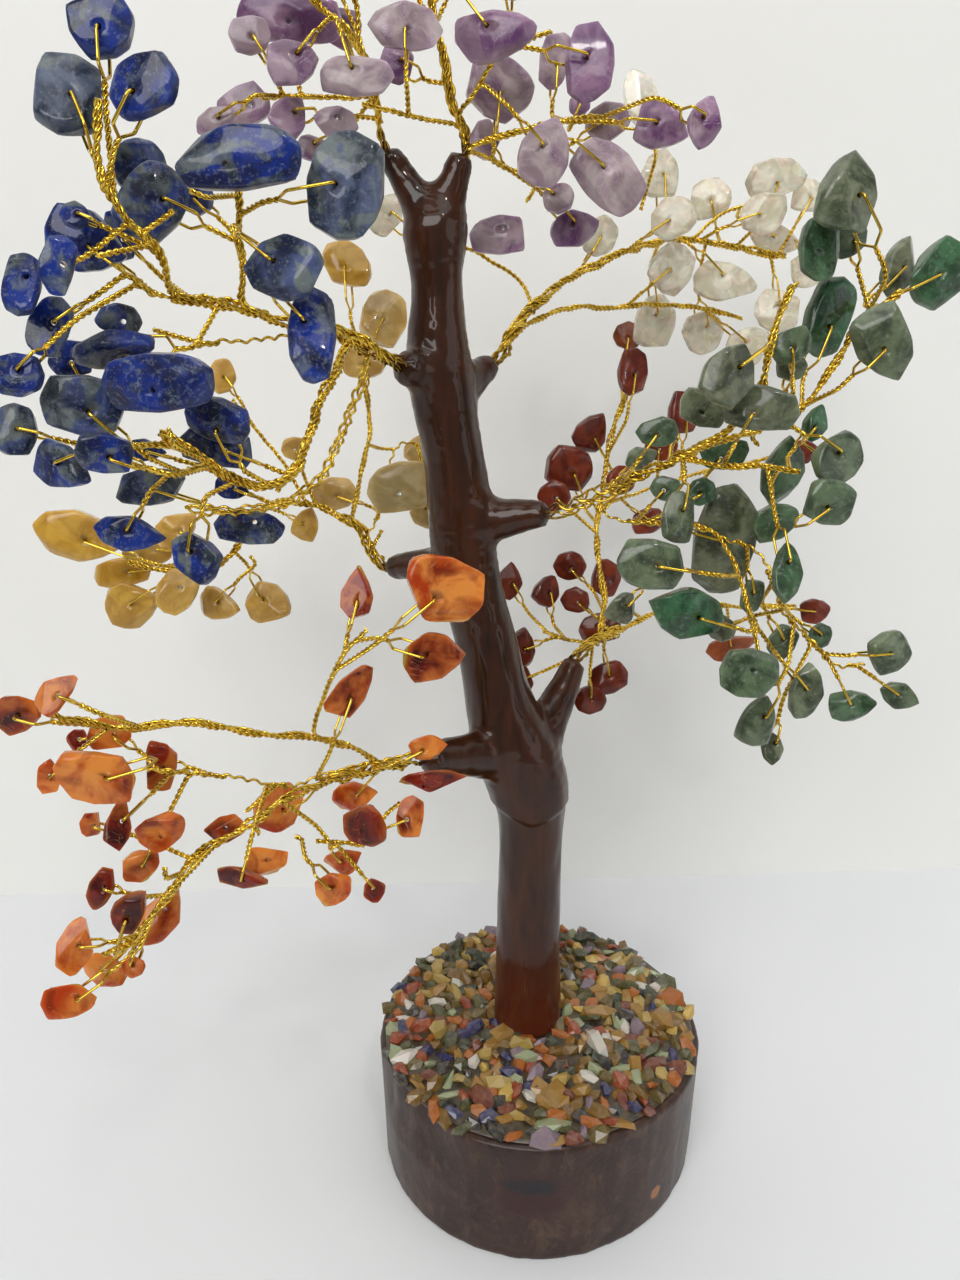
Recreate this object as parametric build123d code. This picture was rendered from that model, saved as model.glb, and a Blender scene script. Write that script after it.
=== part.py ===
from build123d import *
from math import acos, atan2, cos, degrees, pi, radians, sin, sqrt, tan, tau
import os

os.makedirs("parts", exist_ok=True)

# Gemstone tree: chips of seven kinds of stone on twisted wire twigs, a lacquered putty trunk
# modelled over the gathered wires, and a slice of wood covered in glued stone gravel.
# Millimetres, +Z up, the front toward -Y, the origin at the middle of the base's resting face.

# The wood slice
base_radius = 32.0
base_height = 25.7
base_foot_share = 0.975
base_outline_shares = (1.0, 0.995, 1.005, 1.0, 0.985, 0.955, 0.955, 0.985, 1.0, 1.005, 0.99, 1.0)
base_edge_round = 0.8

# The glued gravel on it
bed_thickness = 1.4
bed_margin = 1.0
gravel_length = 3.9
gravel_height = 2.2
gravel_pitch = 4.7
gravel_length_shares = (1.0, 0.72, 0.88, 0.64, 0.95, 0.8, 0.7)
gravel_height_shares = (0.7, 1.0, 0.55, 0.85, 0.62, 0.95, 0.75, 0.5)
gravel_side_taper = 14.0
gravel_sides = (5, 4, 6)

# The trunk: a putty skin over a core of gathered wire, which is pegged into the wood
trunk_width = 12.0
core_width = 5.6
arm_width = 3.0
stub_width = 7.6
waist_share = 0.94
trunk_level_pitch = 8.0
peg_depth = 16.0
peg_clearance = 0.15
skin_clearance = 0.1
foot_clearance = 0.2

# The wire: one strand, two strands twisted, and the gathered stems
wire_width = 0.56
twig_width = 1.05
stem_width = 2.0
seat_clearance = 0.08
root_clearance = 0.2
twig_lead = 1.3
twig_bend_share = 0.35
least_twig_share = 1.2
least_bend_share = 0.62
wire_lead_share = 2.2
bend_spacing_share = 3.2
straight_degrees = 0.6

# The drilled chips
hole_width = 1.2
chip_thickness_share = 0.45
knot_rise_share = 0.55
hole_place_share = 0.22
loop_clearance = 0.16
chip_clearance = 0.3
swing_degrees = 15.0
sway_degrees = 16.0
sway_step = 2.4
edge_spread_degrees = 40.0
edge_room_share = 1.04
face_share = 0.8
face_skin_share = 0.04
lapis_length, lapis_pixels = 10.0, 84
amethyst_length, amethyst_pixels = 10.0, 68
quartz_length, quartz_pixels = 10.0, 51
aventurine_length, aventurine_pixels = 10.0, 67
jasper_length, jasper_pixels = 9.5, 46
citrine_length, citrine_pixels = 10.5, 56
carnelian_length, carnelian_pixels = 10.0, 74

# The viewpoint from which the picture's points are set out in space
eye_side = -11.0
eye_distance = 159.3
eye_rise = 132.2
look_down = 18.135
picture_focus = 961
picture_middle = (480, 640)
crown_depth = 100.0

# How far a crowded chip may slip along the line of sight, how small it may get, and where its
# twig may leave a wire: the lean of the twig to the wire, and the cost of a crowded place
slip_step = 1.2
slip_steps = 18
station_pitch = 2.0
twig_reach = 15.0
far_twig_reach = 26.0
smaller_share = 0.85
smallest_share = 0.7
tip_lean_degrees = 75
least_lean_degrees = 28
easy_lean_degrees = 80
most_lean_degrees = 125
steepest_lean_degrees = 20
crowd_share = 3
most_choices = 12

overrun = 1.0
trace_pitch = 3.0


# Points in space as plain triples
def plus(a, b, times=1):
    return (a[0] + b[0] * times, a[1] + b[1] * times, a[2] + b[2] * times)


def minus(a, b):
    return (a[0] - b[0], a[1] - b[1], a[2] - b[2])


def dot(a, b):
    return a[0] * b[0] + a[1] * b[1] + a[2] * b[2]


def cross(a, b):
    return (a[1] * b[2] - a[2] * b[1], a[2] * b[0] - a[0] * b[2], a[0] * b[1] - a[1] * b[0])


def size(a):
    return sqrt(dot(a, a))


def unit(a):
    length = size(a)
    return (a[0] / length, a[1] / length, a[2] / length)


def between(a, b):
    """The angle between two directions, in radians."""
    return acos(max(-1, min(1, dot(unit(a), unit(b)))))


# The viewpoint's own directions: to the right, up the picture, and back toward the eye
right = (1, 0, 0)
up = (0, sin(radians(look_down)), cos(radians(look_down)))
toward = (0, -cos(radians(look_down)), sin(radians(look_down)))
eye = (eye_side, -eye_distance, base_height + eye_rise)


def picture_point(x, y, near):
    """The point seen at pixel x, y that lies near shares of the crown's depth before the trunk."""
    ray = plus(plus(right, up, 0), toward, -1)
    ray = plus(minus(ray, right), right, (x - picture_middle[0]) / picture_focus)
    ray = plus(ray, up, (picture_middle[1] - y) / picture_focus)
    return plus(eye, ray, (eye_distance - near * crown_depth) / ray[1])


# A wire's line: straight runs joined by arcs
def bends(points, share=0.45):
    """The points without those in line, and the radius of each bend."""
    kept = [points[0]]
    radii = []
    for here, following in zip(points[1:-1], points[2:]):
        turn = between(minus(here, kept[-1]), minus(following, here))
        if turn < radians(straight_degrees):
            continue
        run = min(size(minus(here, kept[-1])), size(minus(following, here)))
        kept.append(here)
        radii.append(share * run / tan(turn / 2))
    return kept + [points[-1]], radii


def traced(points, pitch):
    """Places and directions along the rounded line, about one pitch apart."""
    corners, radii = bends(points)
    line = [corners[0]]
    for before, corner, after, radius in zip(corners, corners[1:], corners[2:], radii):
        ahead, onward = unit(minus(corner, before)), unit(minus(after, corner))
        turn = between(ahead, onward)
        start = plus(corner, ahead, -radius * tan(turn / 2))
        side = unit(minus(onward, plus((0, 0, 0), ahead, dot(ahead, onward))))
        middle = plus(start, side, radius)
        steps = max(1, round(radius * turn / pitch))
        for step in range(steps + 1):
            angle = turn * step / steps
            arm = plus(plus((0, 0, 0), side, -radius * cos(angle)), ahead, radius * sin(angle))
            line.append(plus(middle, arm))
    line.append(corners[-1])
    places = []
    for here, following in zip(line, line[1:]):
        run = size(minus(following, here))
        if run < pitch / 1000:
            continue
        heading = unit(minus(following, here))
        steps = max(1, round(run / pitch))
        places += [(plus(here, heading, run * step / steps), heading) for step in range(steps)]
    places.append((line[-1], places[-1][1]))
    return places


# Room: how far each lump of the tree reaches in a set of directions all round
half_count = 54
look = []
for turn in range(half_count):
    height = (turn + 0.5) / half_count
    flat = sqrt(1 - height * height)
    look.append((flat * cos(turn * pi * (3 - sqrt(5))), flat * sin(turn * pi * (3 - sqrt(5))), height))
look += [(-a, -b, -c) for a, b, c in look]


class Lump:
    """A rounded convex body that spans some points."""

    def __init__(self, points, radius, owner):
        total = len(points)
        self.middle = tuple(sum(p[i] for p in points) / total for i in range(3))
        self.reach = max(size(minus(p, self.middle)) for p in points) + radius
        self.extents = [max(dot(p, way) for p in points) + radius for way in look]
        self.owner = owner

    def clear_of(self, other, clearance):
        mine, theirs = self.extents, other.extents
        for way in range(half_count):
            if -mine[way] - theirs[way + half_count] >= clearance:
                return True
            if -mine[way + half_count] - theirs[way] >= clearance:
                return True
        return False

    def near(self, place, reach):
        return size(minus(self.middle, place)) < self.reach + reach


def wire_lumps(places, radius, owner):
    return [Lump((a[0], b[0]), radius, owner) for a, b in zip(places, places[1:])]


occupied = []


# Solids from these lines and outlines
def vectors(points):
    return [Vector(*p) for p in points]


def tube(points, radius):
    """A round wire along a line of straight runs and arcs."""
    corners, radii = bends(points)
    if radii:
        path = FilletPolyline(*vectors(corners), radius=radii)
    else:
        path = Line(*vectors(corners))
    return sweep(Plane(origin=path @ 0, z_dir=path % 0) * Circle(radius), path=path)


def cone(stations):
    """A round horn through (middle, radius) stations, each square to the horn's line."""
    sections = []
    for number, (middle, radius) in enumerate(stations):
        before, after = stations[max(number - 1, 0)][0], stations[min(number + 1, len(stations) - 1)][0]
        plane = Plane(origin=Vector(*middle), z_dir=Vector(*minus(after, before)))
        sections.append(plane * Circle(radius))
    return loft(sections)


def write(name, solids):
    """One STEP file for one named sub-part."""
    shapes = [solid for shape in solids for solid in shape.solids()]
    export_step(Compound(shapes) if len(shapes) > 1 else shapes[0], f"parts/{name}.step")
    print(name, len(shapes), "solids", round(sum(s.volume for s in shapes), 1))


# The trunk's line in the picture: x, y, near share, width share of the trunk
trunk_shares = (
    (528, 960, 0.0, 1.02), (529, 900, 0.0, 0.98), (530, 840, 0.0, 0.98), (530, 795, 0.0, 1.06),
    (522, 762, 0.0, 1.32), (510, 730, 0.0, 1.2), (497, 690, 0.0, 0.98), (486, 640, 0.0, 0.88),
    (473, 590, 0.0, 0.86), (462, 545, 0.0, 0.9), (459, 500, 0.0, 0.88), (455, 460, 0.0, 0.84),
    (448, 420, 0.0, 0.84), (441, 380, 0.0, 0.88), (438, 340, 0.0, 0.78), (436, 295, 0.0, 0.64),
    (436, 250, 0.0, 0.66), (437, 214, 0.0, 0.74),
)
trunk_foot_pixels = (527, 1030)
trunk_foot_share = 1.1

# The stubs: root and tip in the picture as x, y, near share, then width shares of a stub there
stub_shares = {
    "carnelian": ((508, 752, 0.0), (428, 758, 0.14), 1.3, 0.74),
    "jasper": ((532, 758, 0.0), (575, 662, -0.07), 1.2, 0.62),
    "aventurine": ((466, 524, 0.0), (545, 513, 0.04), 1.15, 0.62),
    "citrine": ((466, 562, 0.0), (392, 567, -0.1), 1.05, 0.58),
    "lapis": ((440, 378, 0.0), (404, 366, 0.06), 1.1, 0.72),
    "quartz": ((446, 400, 0.0), (491, 364, -0.07), 1.1, 0.6),
    "amethyst_left": ((436, 232, 0.0), (388, 153, 0.0), 0.86, 0.52),
    "amethyst_right": ((438, 226, 0.0), (462, 156, 0.0), 0.96, 0.52),
}

base_top = base_height
foot = picture_point(*trunk_foot_pixels, 0)
foot_place = plus(foot, (0, 0, 1), base_top - foot[2])
trunk_line = [(foot_place, trunk_foot_share)]
trunk_line += [(picture_point(x, y, near), share) for x, y, near, share in trunk_shares]
stub_line = {}
for branch, (root, tip, root_share, tip_share) in stub_shares.items():
    stub_line[branch] = (picture_point(*root), picture_point(*tip), root_share, tip_share)

for (lower, lower_share), (upper, upper_share) in zip(trunk_line, trunk_line[1:]):
    widest = max(lower_share, upper_share) * trunk_width / 2
    occupied.append(Lump((lower, upper), widest, "trunk"))
for root, tip, root_share, tip_share in stub_line.values():
    halfway = plus(root, minus(tip, root), 0.5)
    occupied.append(Lump((root, halfway), root_share * stub_width / 2, "trunk"))
    occupied.append(Lump((halfway, tip), (root_share + tip_share) * stub_width / 4, "trunk"))

# The branch wires in the picture. A row says whether a wire starts on the stub or goes on from the
# tip or springs from the side of which wire, its width as a share of a stem, and its x, y, near
# share at each bend. The first row of a branch is its bundle.
wire_shares = {
    "lapis": (
        ("stub", 0, 1.7, ((385, 354, 0.10), (345, 333, 0.15), (312, 328, 0.19))),
        ("tip", 0, 1.1, ((278, 327, 0.22), (246, 308, 0.26), (206, 300, 0.30), (172, 297, 0.33))),
        ("tip", 1, 0.85, ((145, 280, 0.36), (112, 264, 0.39))),
        ("side", 1, 0.7, ((243, 306, 0.262), (243, 276, 0.285), (239, 243, 0.30), (239, 205, 0.31),
                          (237, 182, 0.31))),
        ("side", 1, 0.75, ((176, 297, 0.328), (164, 260, 0.36), (141, 234, 0.385), (114, 207, 0.40),
                           (100, 172, 0.41), (97, 128, 0.42), (98, 98, 0.42))),
        ("side", 0, 0.65, ((318, 328, 0.185), (285, 342, 0.22), (238, 340, 0.26), (196, 347, 0.30))),
        ("side", 0, 1.0, ((352, 337, 0.14), (337, 372, 0.20), (319, 400, 0.235), (307, 445, 0.27),
                          (292, 478, 0.30), (254, 488, 0.325), (226, 474, 0.35), (192, 452, 0.375),
                          (160, 432, 0.395))),
        ("side", 0, 1.0, ((366, 344, 0.125), (362, 385, 0.15), (344, 425, 0.19), (326, 470, 0.235),
                          (296, 502, 0.27), (248, 512, 0.31), (214, 512, 0.34), (186, 508, 0.36))),
        ("side", 6, 0.65, ((180, 443, 0.384), (140, 448, 0.37), (98, 438, 0.36))),
        ("side", 6, 0.65, ((208, 463, 0.363), (182, 474, 0.33), (140, 470, 0.29))),
    ),
    "amethyst_left": (
        ("stub", 0, 0.85, ((381, 128, 0.01), (376, 100, 0.03), (366, 58, 0.06), (350, 34, 0.08))),
        ("tip", 0, 0.65, ((322, 10, 0.09), (300, -18, 0.09))),
        ("side", 0, 0.6, ((373, 88, 0.038), (340, 98, 0.05), (300, 96, 0.06), (262, 98, 0.06))),
        ("side", 0, 0.55, ((358, 46, 0.07), (358, 10, 0.06), (350, -30, 0.04))),
    ),
    "amethyst_right": (
        ("stub", 0, 1.0, ((458, 136, 0.01), (455, 116, 0.02), (448, 84, 0.03), (441, 48, 0.04))),
        ("tip", 0, 0.75, ((432, 12, 0.05), (427, -28, 0.055), (432, -66, 0.05))),
        ("side", 0, 0.65, ((459, 142, 0.006), (500, 136, 0.01), (542, 126, 0.0), (580, 116, -0.02),
                           (625, 122, -0.03))),
        ("side", 0, 0.6, ((454, 114, 0.021), (476, 92, 0.05), (492, 62, 0.055), (520, 46, 0.03),
                          (552, 30, 0.0))),
        ("side", 0, 0.6, ((460, 146, 0.003), (492, 160, -0.05), (532, 180, -0.09), (560, 200, -0.12))),
        ("side", 0, 0.6, ((456, 124, 0.016), (425, 118, 0.06), (395, 112, 0.08), (362, 104, 0.09))),
        ("side", 1, 0.55, ((430, 0, 0.052), (452, -20, 0.03), (482, -34, 0.0))),
    ),
    "quartz": (
        ("stub", 0, 1.45, ((503, 340, -0.10), (522, 317, -0.14), (547, 294, -0.19))),
        ("tip", 0, 1.0, ((584, 271, -0.25), (622, 252, -0.31), (662, 241, -0.37), (702, 240, -0.43),
                         (745, 250, -0.48), (785, 257, -0.52))),
        ("side", 0, 0.7, ((515, 326, -0.126), (545, 316, -0.19), (575, 306, -0.24), (615, 308, -0.30),
                          (655, 304, -0.36), (700, 308, -0.42), (742, 318, -0.46))),
        ("side", 1, 0.6, ((690, 240, -0.41), (716, 216, -0.45), (755, 202, -0.48), (790, 190, -0.50))),
        ("side", 1, 0.6, ((622, 252, -0.31), (640, 215, -0.35), (648, 180, -0.37), (640, 140, -0.38))),
        ("side", 0, 0.55, ((535, 306, -0.165), (520, 278, -0.2), (485, 256, -0.22), (430, 238, -0.22))),
    ),
    "aventurine": (
        ("stub", 0, 1.7, ((562, 513, 0.05), (590, 503, 0.065), (620, 485, 0.09), (648, 472, 0.115))),
        ("tip", 0, 1.2, ((674, 461, 0.135), (708, 443, 0.16))),
        ("tip", 1, 0.85, ((738, 421, 0.17), (761, 395, 0.18), (768, 358, 0.19), (775, 322, 0.2),
                          (792, 285, 0.21))),
        ("side", 1, 0.85, ((700, 447, 0.155), (748, 434, 0.13), (789, 418, 0.12), (818, 394, 0.115),
                           (838, 356, 0.11), (864, 318, 0.105), (902, 292, 0.1))),
        ("side", 0, 0.85, ((584, 505, 0.062), (618, 520, 0.10), (665, 524, 0.14), (712, 530, 0.165),
                           (754, 548, 0.18), (773, 582, 0.18), (784, 610, 0.18), (802, 634, 0.17),
                           (832, 664, 0.16), (866, 666, 0.15))),
        ("side", 1, 0.65, ((682, 457, 0.14), (722, 468, 0.165), (762, 464, 0.18), (800, 472, 0.185))),
        ("side", 4, 0.6, ((720, 533, 0.168), (740, 575, 0.2), (752, 620, 0.215), (757, 650, 0.22))),
        ("side", 4, 0.6, ((650, 523, 0.13), (668, 558, 0.15), (662, 590, 0.17))),
    ),
    "jasper": (
        ("stub", 0, 1.4, ((590, 647, -0.11), (606, 638, -0.15), (622, 630, -0.19))),
        ("tip", 0, 0.85, ((655, 612, -0.26), (700, 604, -0.34), (748, 606, -0.40), (795, 606, -0.46))),
        ("side", 0, 0.85, ((600, 641, -0.135), (607, 602, -0.20), (596, 556, -0.26), (598, 515, -0.31),
                           (606, 470, -0.36), (612, 430, -0.39), (627, 392, -0.41))),
        ("side", 2, 0.6, ((600, 508, -0.317), (645, 490, -0.38), (710, 470, -0.44), (770, 458, -0.50))),
        ("side", 0, 0.55, ((588, 649, -0.105), (566, 640, -0.16), (542, 632, -0.2))),
    ),
    "citrine": (
        ("stub", 0, 1.3, ((378, 548, -0.12), (360, 527, -0.15), (337, 515, -0.17))),
        ("tip", 0, 0.9, ((306, 503, -0.18), (276, 500, -0.18), (250, 516, -0.18), (238, 548, -0.18),
                         (212, 570, -0.17), (170, 572, -0.16), (128, 562, -0.14))),
        ("side", 0, 0.65, ((370, 538, -0.133), (386, 500, -0.19), (388, 464, -0.23), (400, 440, -0.26),
                           (424, 446, -0.29))),
        ("side", 0, 0.65, ((352, 522, -0.157), (362, 474, -0.22), (372, 424, -0.27), (362, 378, -0.31),
                           (358, 332, -0.34))),
        ("side", 1, 0.55, ((306, 503, -0.18), (286, 464, -0.21), (252, 424, -0.24), (232, 400, -0.26))),
        ("side", 1, 0.55, ((240, 540, -0.18), (262, 570, -0.17), (268, 585, -0.16))),
    ),
    "carnelian": (
        ("stub", 0, 1.55, ((396, 765, 0.185), (358, 772, 0.22), (330, 777, 0.25))),
        ("tip", 0, 0.85, ((297, 784, 0.29), (262, 785, 0.33), (226, 777, 0.36), (190, 772, 0.39),
                          (148, 772, 0.42))),
        ("side", 0, 0.8, ((384, 767, 0.197), (355, 749, 0.23), (318, 738, 0.26), (263, 735, 0.31),
                          (228, 727, 0.34), (196, 722, 0.37), (160, 725, 0.395), (124, 730, 0.42),
                          (84, 722, 0.45), (50, 714, 0.47))),
        ("side", 0, 0.9, ((338, 776, 0.242), (312, 794, 0.29), (282, 800, 0.325), (254, 822, 0.355),
                          (218, 842, 0.38), (192, 858, 0.40), (176, 884, 0.42), (154, 916, 0.44),
                          (130, 944, 0.46), (104, 957, 0.475))),
        ("side", 3, 0.6, ((266, 813, 0.342), (285, 834, 0.33), (316, 842, 0.315), (350, 842, 0.305),
                          (382, 852, 0.30))),
        ("side", 2, 0.6, ((314, 738, 0.263), (319, 708, 0.28), (331, 680, 0.295), (344, 650, 0.31),
                          (366, 630, 0.32))),
    ),
}

# Lay the wires: each starts on its stub or parent and keeps its room
wire_runs = {}
stations = {}
for branch, rows in wire_shares.items():
    root, tip, root_share, tip_share = stub_line[branch]
    runs = []
    places = []
    continued = set()
    for number, (start, parent, share, bend_pixels) in enumerate(rows):
        radius = share * stem_width / 2
        route = [picture_point(*pixels) for pixels in bend_pixels]
        if start == "stub":
            heading = unit(minus(tip, root))
            lead = [tip, plus(tip, heading, radius * wire_lead_share)]
        elif start == "tip":
            continued.add(parent)
            end, heading = places[parent][-1]
            lead = [end, plus(end, heading, radius * wire_lead_share)]
        else:
            seat, along = min(places[parent], key=lambda place: size(minus(place[0], route[0])))
            away = unit(minus(route[1], seat))
            lean = between(along, away)
            lean = min(lean, pi - lean)
            parent_radius = rows[parent][2] * stem_width / 2
            stand_off = (parent_radius + root_clearance + radius * cos(lean)) / sin(lean)
            lead = [plus(seat, away, stand_off)]
            route = route[1:]
        spacing = radius * bend_spacing_share
        route = lead + [place for place in route if size(minus(place, lead[-1])) > spacing]
        runs.append((route, radius))
        places.append(traced(route, station_pitch))
    wire_runs[branch] = runs
    stations[branch] = (places, continued)
    for number, (route, radius) in enumerate(runs):
        owner = f"{branch} wire {number}"
        occupied += wire_lumps(traced(route, trace_pitch), radius, owner)

# Outlines of chips: radius shares at eight points round, from the long axis
form_shares = {
    "pebble": (1.0, 0.98, 1.0, 0.98, 1.0, 0.96, 1.0, 0.98),
    "block": (0.98, 1.14, 0.96, 1.1, 1.0, 1.12, 0.97, 1.08),
    "slab": (1.0, 1.14, 1.0, 1.08, 0.98, 1.14, 0.97, 1.12),
    "wedge": (1.04, 0.82, 0.9, 1.12, 0.96, 1.14, 0.92, 0.8),
    "leaf": (1.08, 0.84, 0.92, 0.94, 1.02, 0.88, 0.95, 0.8),
    "shard": (1.12, 0.72, 0.8, 1.0, 1.0, 1.08, 0.82, 0.68),
}
level_shares = ((-0.5, 0.76), (-0.36, 0.95), (0.0, 1.0), (0.36, 0.96), (0.5, 0.78))

# The chips in the picture: x, y, length and width in pixels, turn of the long axis in degrees,
# near share, lean in degrees, form
lapis_chip_shares = (
    (102, 24, 64, 60, 20, 0.40, 10, "block"), (69, 95, 82, 70, 80, 0.41, 15, "block"),
    (144, 87, 70, 58, 10, 0.43, 10, "block"), (139, 167, 62, 58, 30, 0.33, 20, "block"),
    (239, 158, 137, 62, 5, 0.34, 15, "slab"), (346, 187, 110, 84, 80, 0.33, 5, "slab"),
    (153, 202, 92, 68, 55, 0.40, 20, "block"), (196, 196, 48, 44, 0, 0.30, 20, "pebble"),
    (86, 242, 88, 72, -20, 0.42, 15, "wedge"), (76, 215, 34, 28, 0, 0.33, 0, "pebble"),
    (119, 236, 55, 40, 90, 0.34, 20, "block"), (22, 284, 72, 38, 85, 0.42, 10, "slab"),
    (57, 266, 60, 34, 75, 0.36, 30, "slab"), (49, 327, 66, 42, 65, 0.40, 20, "slab"),
    (119, 320, 52, 38, 0, 0.34, 20, "pebble"), (285, 268, 94, 68, -5, 0.36, 10, "pebble"),
    (312, 334, 120, 54, 88, 0.34, 5, "slab"), (18, 375, 52, 46, 0, 0.42, 10, "block"),
    (113, 350, 94, 56, 18, 0.47, 72, "leaf"), (70, 358, 52, 42, 0, 0.36, 20, "block"),
    (158, 382, 128, 62, 4, 0.45, 20, "slab"), (15, 430, 60, 46, 90, 0.40, 10, "block"),
    (85, 405, 92, 66, -10, 0.43, 15, "block"), (60, 466, 78, 52, -25, 0.44, 15, "wedge"),
    (104, 453, 62, 42, -10, 0.33, 25, "slab"), (144, 450, 54, 30, -5, 0.43, 10, "leaf"),
    (218, 420, 80, 50, -15, 0.33, 35, "slab"), (217, 447, 90, 46, -12, 0.44, 10, "slab"),
    (150, 487, 132, 56, 5, 0.47, 5, "pebble"), (232, 487, 42, 36, -20, 0.30, 10, "wedge"),
    (128, 533, 80, 46, -10, 0.38, 15, "leaf"), (196, 558, 66, 52, -35, 0.42, 15, "block"),
    (251, 527, 90, 44, -5, 0.44, 5, "slab"),
)
amethyst_left_chip_shares = (
    (290, 18, 122, 48, -5, 0.12, 15, "slab"), (250, 35, 42, 36, 0, 0.05, 10, "block"),
    (343, 30, 46, 40, 60, 0.10, 20, "pebble"), (293, 63, 54, 46, 20, 0.13, 10, "wedge"),
    (355, 76, 76, 36, -5, 0.14, 10, "slab"), (245, 107, 62, 42, 25, 0.04, 20, "block"),
    (289, 116, 48, 40, 60, 0.06, 20, "wedge"), (216, 122, 48, 30, 20, 0.02, 10, "leaf"),
    (335, 122, 48, 32, -10, 0.0, 10, "pebble"), (312, 148, 34, 30, 0, 0.0, 0, "pebble"),
    (330, -28, 60, 46, 30, 0.06, 10, "block"), (276, -30, 54, 42, -20, 0.07, 20, "wedge"),
    (368, -52, 58, 42, 80, 0.02, 10, "slab"),
)
amethyst_right_chip_shares = (
    (406, 27, 76, 46, 0, 0.10, 10, "pebble"), (396, 63, 42, 38, 60, 0.02, 10, "block"),
    (495, 36, 92, 50, 5, 0.08, 15, "wedge"), (499, 88, 78, 64, -30, 0.10, 10, "block"),
    (590, 63, 84, 52, 85, 0.02, 10, "slab"), (555, 60, 62, 36, 80, -0.06, 15, "slab"),
    (580, 104, 40, 28, 70, -0.08, 10, "leaf"), (608, 122, 54, 42, 10, 0.02, 10, "pebble"),
    (661, 126, 62, 54, -20, 0.0, 10, "wedge"), (704, 123, 60, 40, 75, -0.03, 15, "leaf"),
    (545, 152, 68, 58, 70, 0.05, 10, "wedge"), (608, 176, 92, 58, -45, 0.04, 5, "slab"),
    (485, 140, 48, 36, 80, -0.06, 10, "pebble"), (499, 235, 76, 46, 0, -0.12, 10, "block"),
    (575, 229, 64, 46, 15, -0.14, 10, "wedge"), (558, 198, 40, 36, 0, -0.08, 0, "pebble"),
    (463, -36, 62, 46, 10, 0.06, 10, "block"), (398, -42, 58, 44, 60, 0.05, 15, "wedge"),
    (510, -24, 52, 44, -30, 0.0, 10, "pebble"), (440, -96, 64, 42, 80, 0.05, 10, "slab"),
)
quartz_chip_shares = (
    (660, 172, 56, 46, 80, -0.40, 10, "wedge"), (640, 98, 64, 38, 80, -0.38, 15, "slab"),
    (710, 198, 48, 42, 20, -0.44, 10, "block"), (776, 178, 72, 40, 10, -0.48, 15, "slab"),
    (812, 196, 48, 38, -10, -0.51, 10, "wedge"), (764, 214, 48, 42, 0, -0.44, 10, "block"),
    (776, 240, 64, 36, -10, -0.47, 15, "leaf"), (674, 218, 48, 42, 30, -0.36, 10, "pebble"),
    (671, 269, 54, 46, 60, -0.40, 10, "block"), (725, 282, 72, 44, -10, -0.46, 10, "wedge"),
    (655, 322, 62, 46, 80, -0.36, 10, "block"), (703, 333, 54, 48, 0, -0.42, 10, "pebble"),
    (748, 346, 54, 48, 30, -0.46, 10, "wedge"), (779, 312, 58, 46, -20, -0.48, 10, "block"),
    (386, 214, 48, 36, 60, -0.22, 10, "wedge"), (812, 268, 50, 40, 20, -0.53, 10, "block"),
    (600, 236, 46, 38, 40, -0.30, 10, "pebble"),
)
aventurine_chip_shares = (
    (848, 191, 86, 64, 75, 0.20, 10, "wedge"), (820, 248, 72, 44, 80, 0.24, 10, "slab"),
    (850, 238, 44, 34, 70, 0.14, 10, "pebble"), (901, 266, 86, 50, 60, 0.14, 20, "leaf"),
    (940, 274, 76, 64, 50, 0.12, 10, "block"), (828, 318, 90, 54, 75, 0.19, 15, "slab"),
    (885, 344, 86, 60, -60, 0.16, 10, "wedge"), (791, 345, 42, 36, 20, 0.24, 10, "block"),
    (790, 366, 38, 34, 0, 0.12, 0, "pebble"), (729, 374, 66, 58, 60, 0.22, 10, "wedge"),
    (757, 408, 84, 46, -10, 0.08, 15, "slab"), (704, 408, 60, 42, -15, 0.08, 15, "block"),
    (659, 432, 48, 34, 0, 0.16, 10, "pebble"), (815, 424, 44, 30, 70, 0.17, 10, "leaf"),
    (838, 458, 60, 52, 40, 0.20, 10, "block"), (783, 471, 80, 54, 80, 0.25, 10, "leaf"),
    (830, 502, 56, 48, -20, 0.22, 15, "block"), (776, 521, 58, 44, 20, 0.20, 10, "wedge"),
    (724, 454, 58, 36, 0, 0.25, 15, "slab"), (640, 458, 46, 30, 20, 0.04, 10, "leaf"),
    (666, 488, 36, 30, 0, 0.17, 10, "pebble"), (702, 492, 36, 32, 40, 0.12, 10, "pebble"),
    (678, 518, 58, 38, 80, 0.21, 15, "slab"), (725, 540, 130, 72, 80, 0.28, 5, "slab"),
    (787, 572, 68, 36, 80, 0.25, 10, "leaf"), (649, 564, 74, 54, -10, 0.20, 10, "block"),
    (622, 608, 44, 36, 60, 0.15, 10, "wedge"), (686, 613, 94, 56, -15, 0.23, 10, "pebble"),
    (752, 596, 60, 36, 80, 0.12, 10, "slab"), (722, 628, 36, 32, 0, 0.14, 0, "pebble"),
    (749, 674, 64, 56, -10, 0.27, 10, "block"), (757, 720, 62, 48, 80, 0.24, 10, "wedge"),
    (772, 748, 40, 28, 80, 0.21, 10, "leaf"), (806, 691, 70, 42, 80, 0.22, 10, "leaf"),
    (782, 642, 44, 34, 60, 0.22, 10, "slab"), (820, 636, 34, 30, 0, 0.13, 0, "pebble"),
    (852, 706, 54, 40, 10, 0.20, 10, "wedge"), (890, 652, 56, 48, 20, 0.18, 10, "block"),
    (900, 696, 48, 34, -20, 0.18, 10, "leaf"),
)
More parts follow.
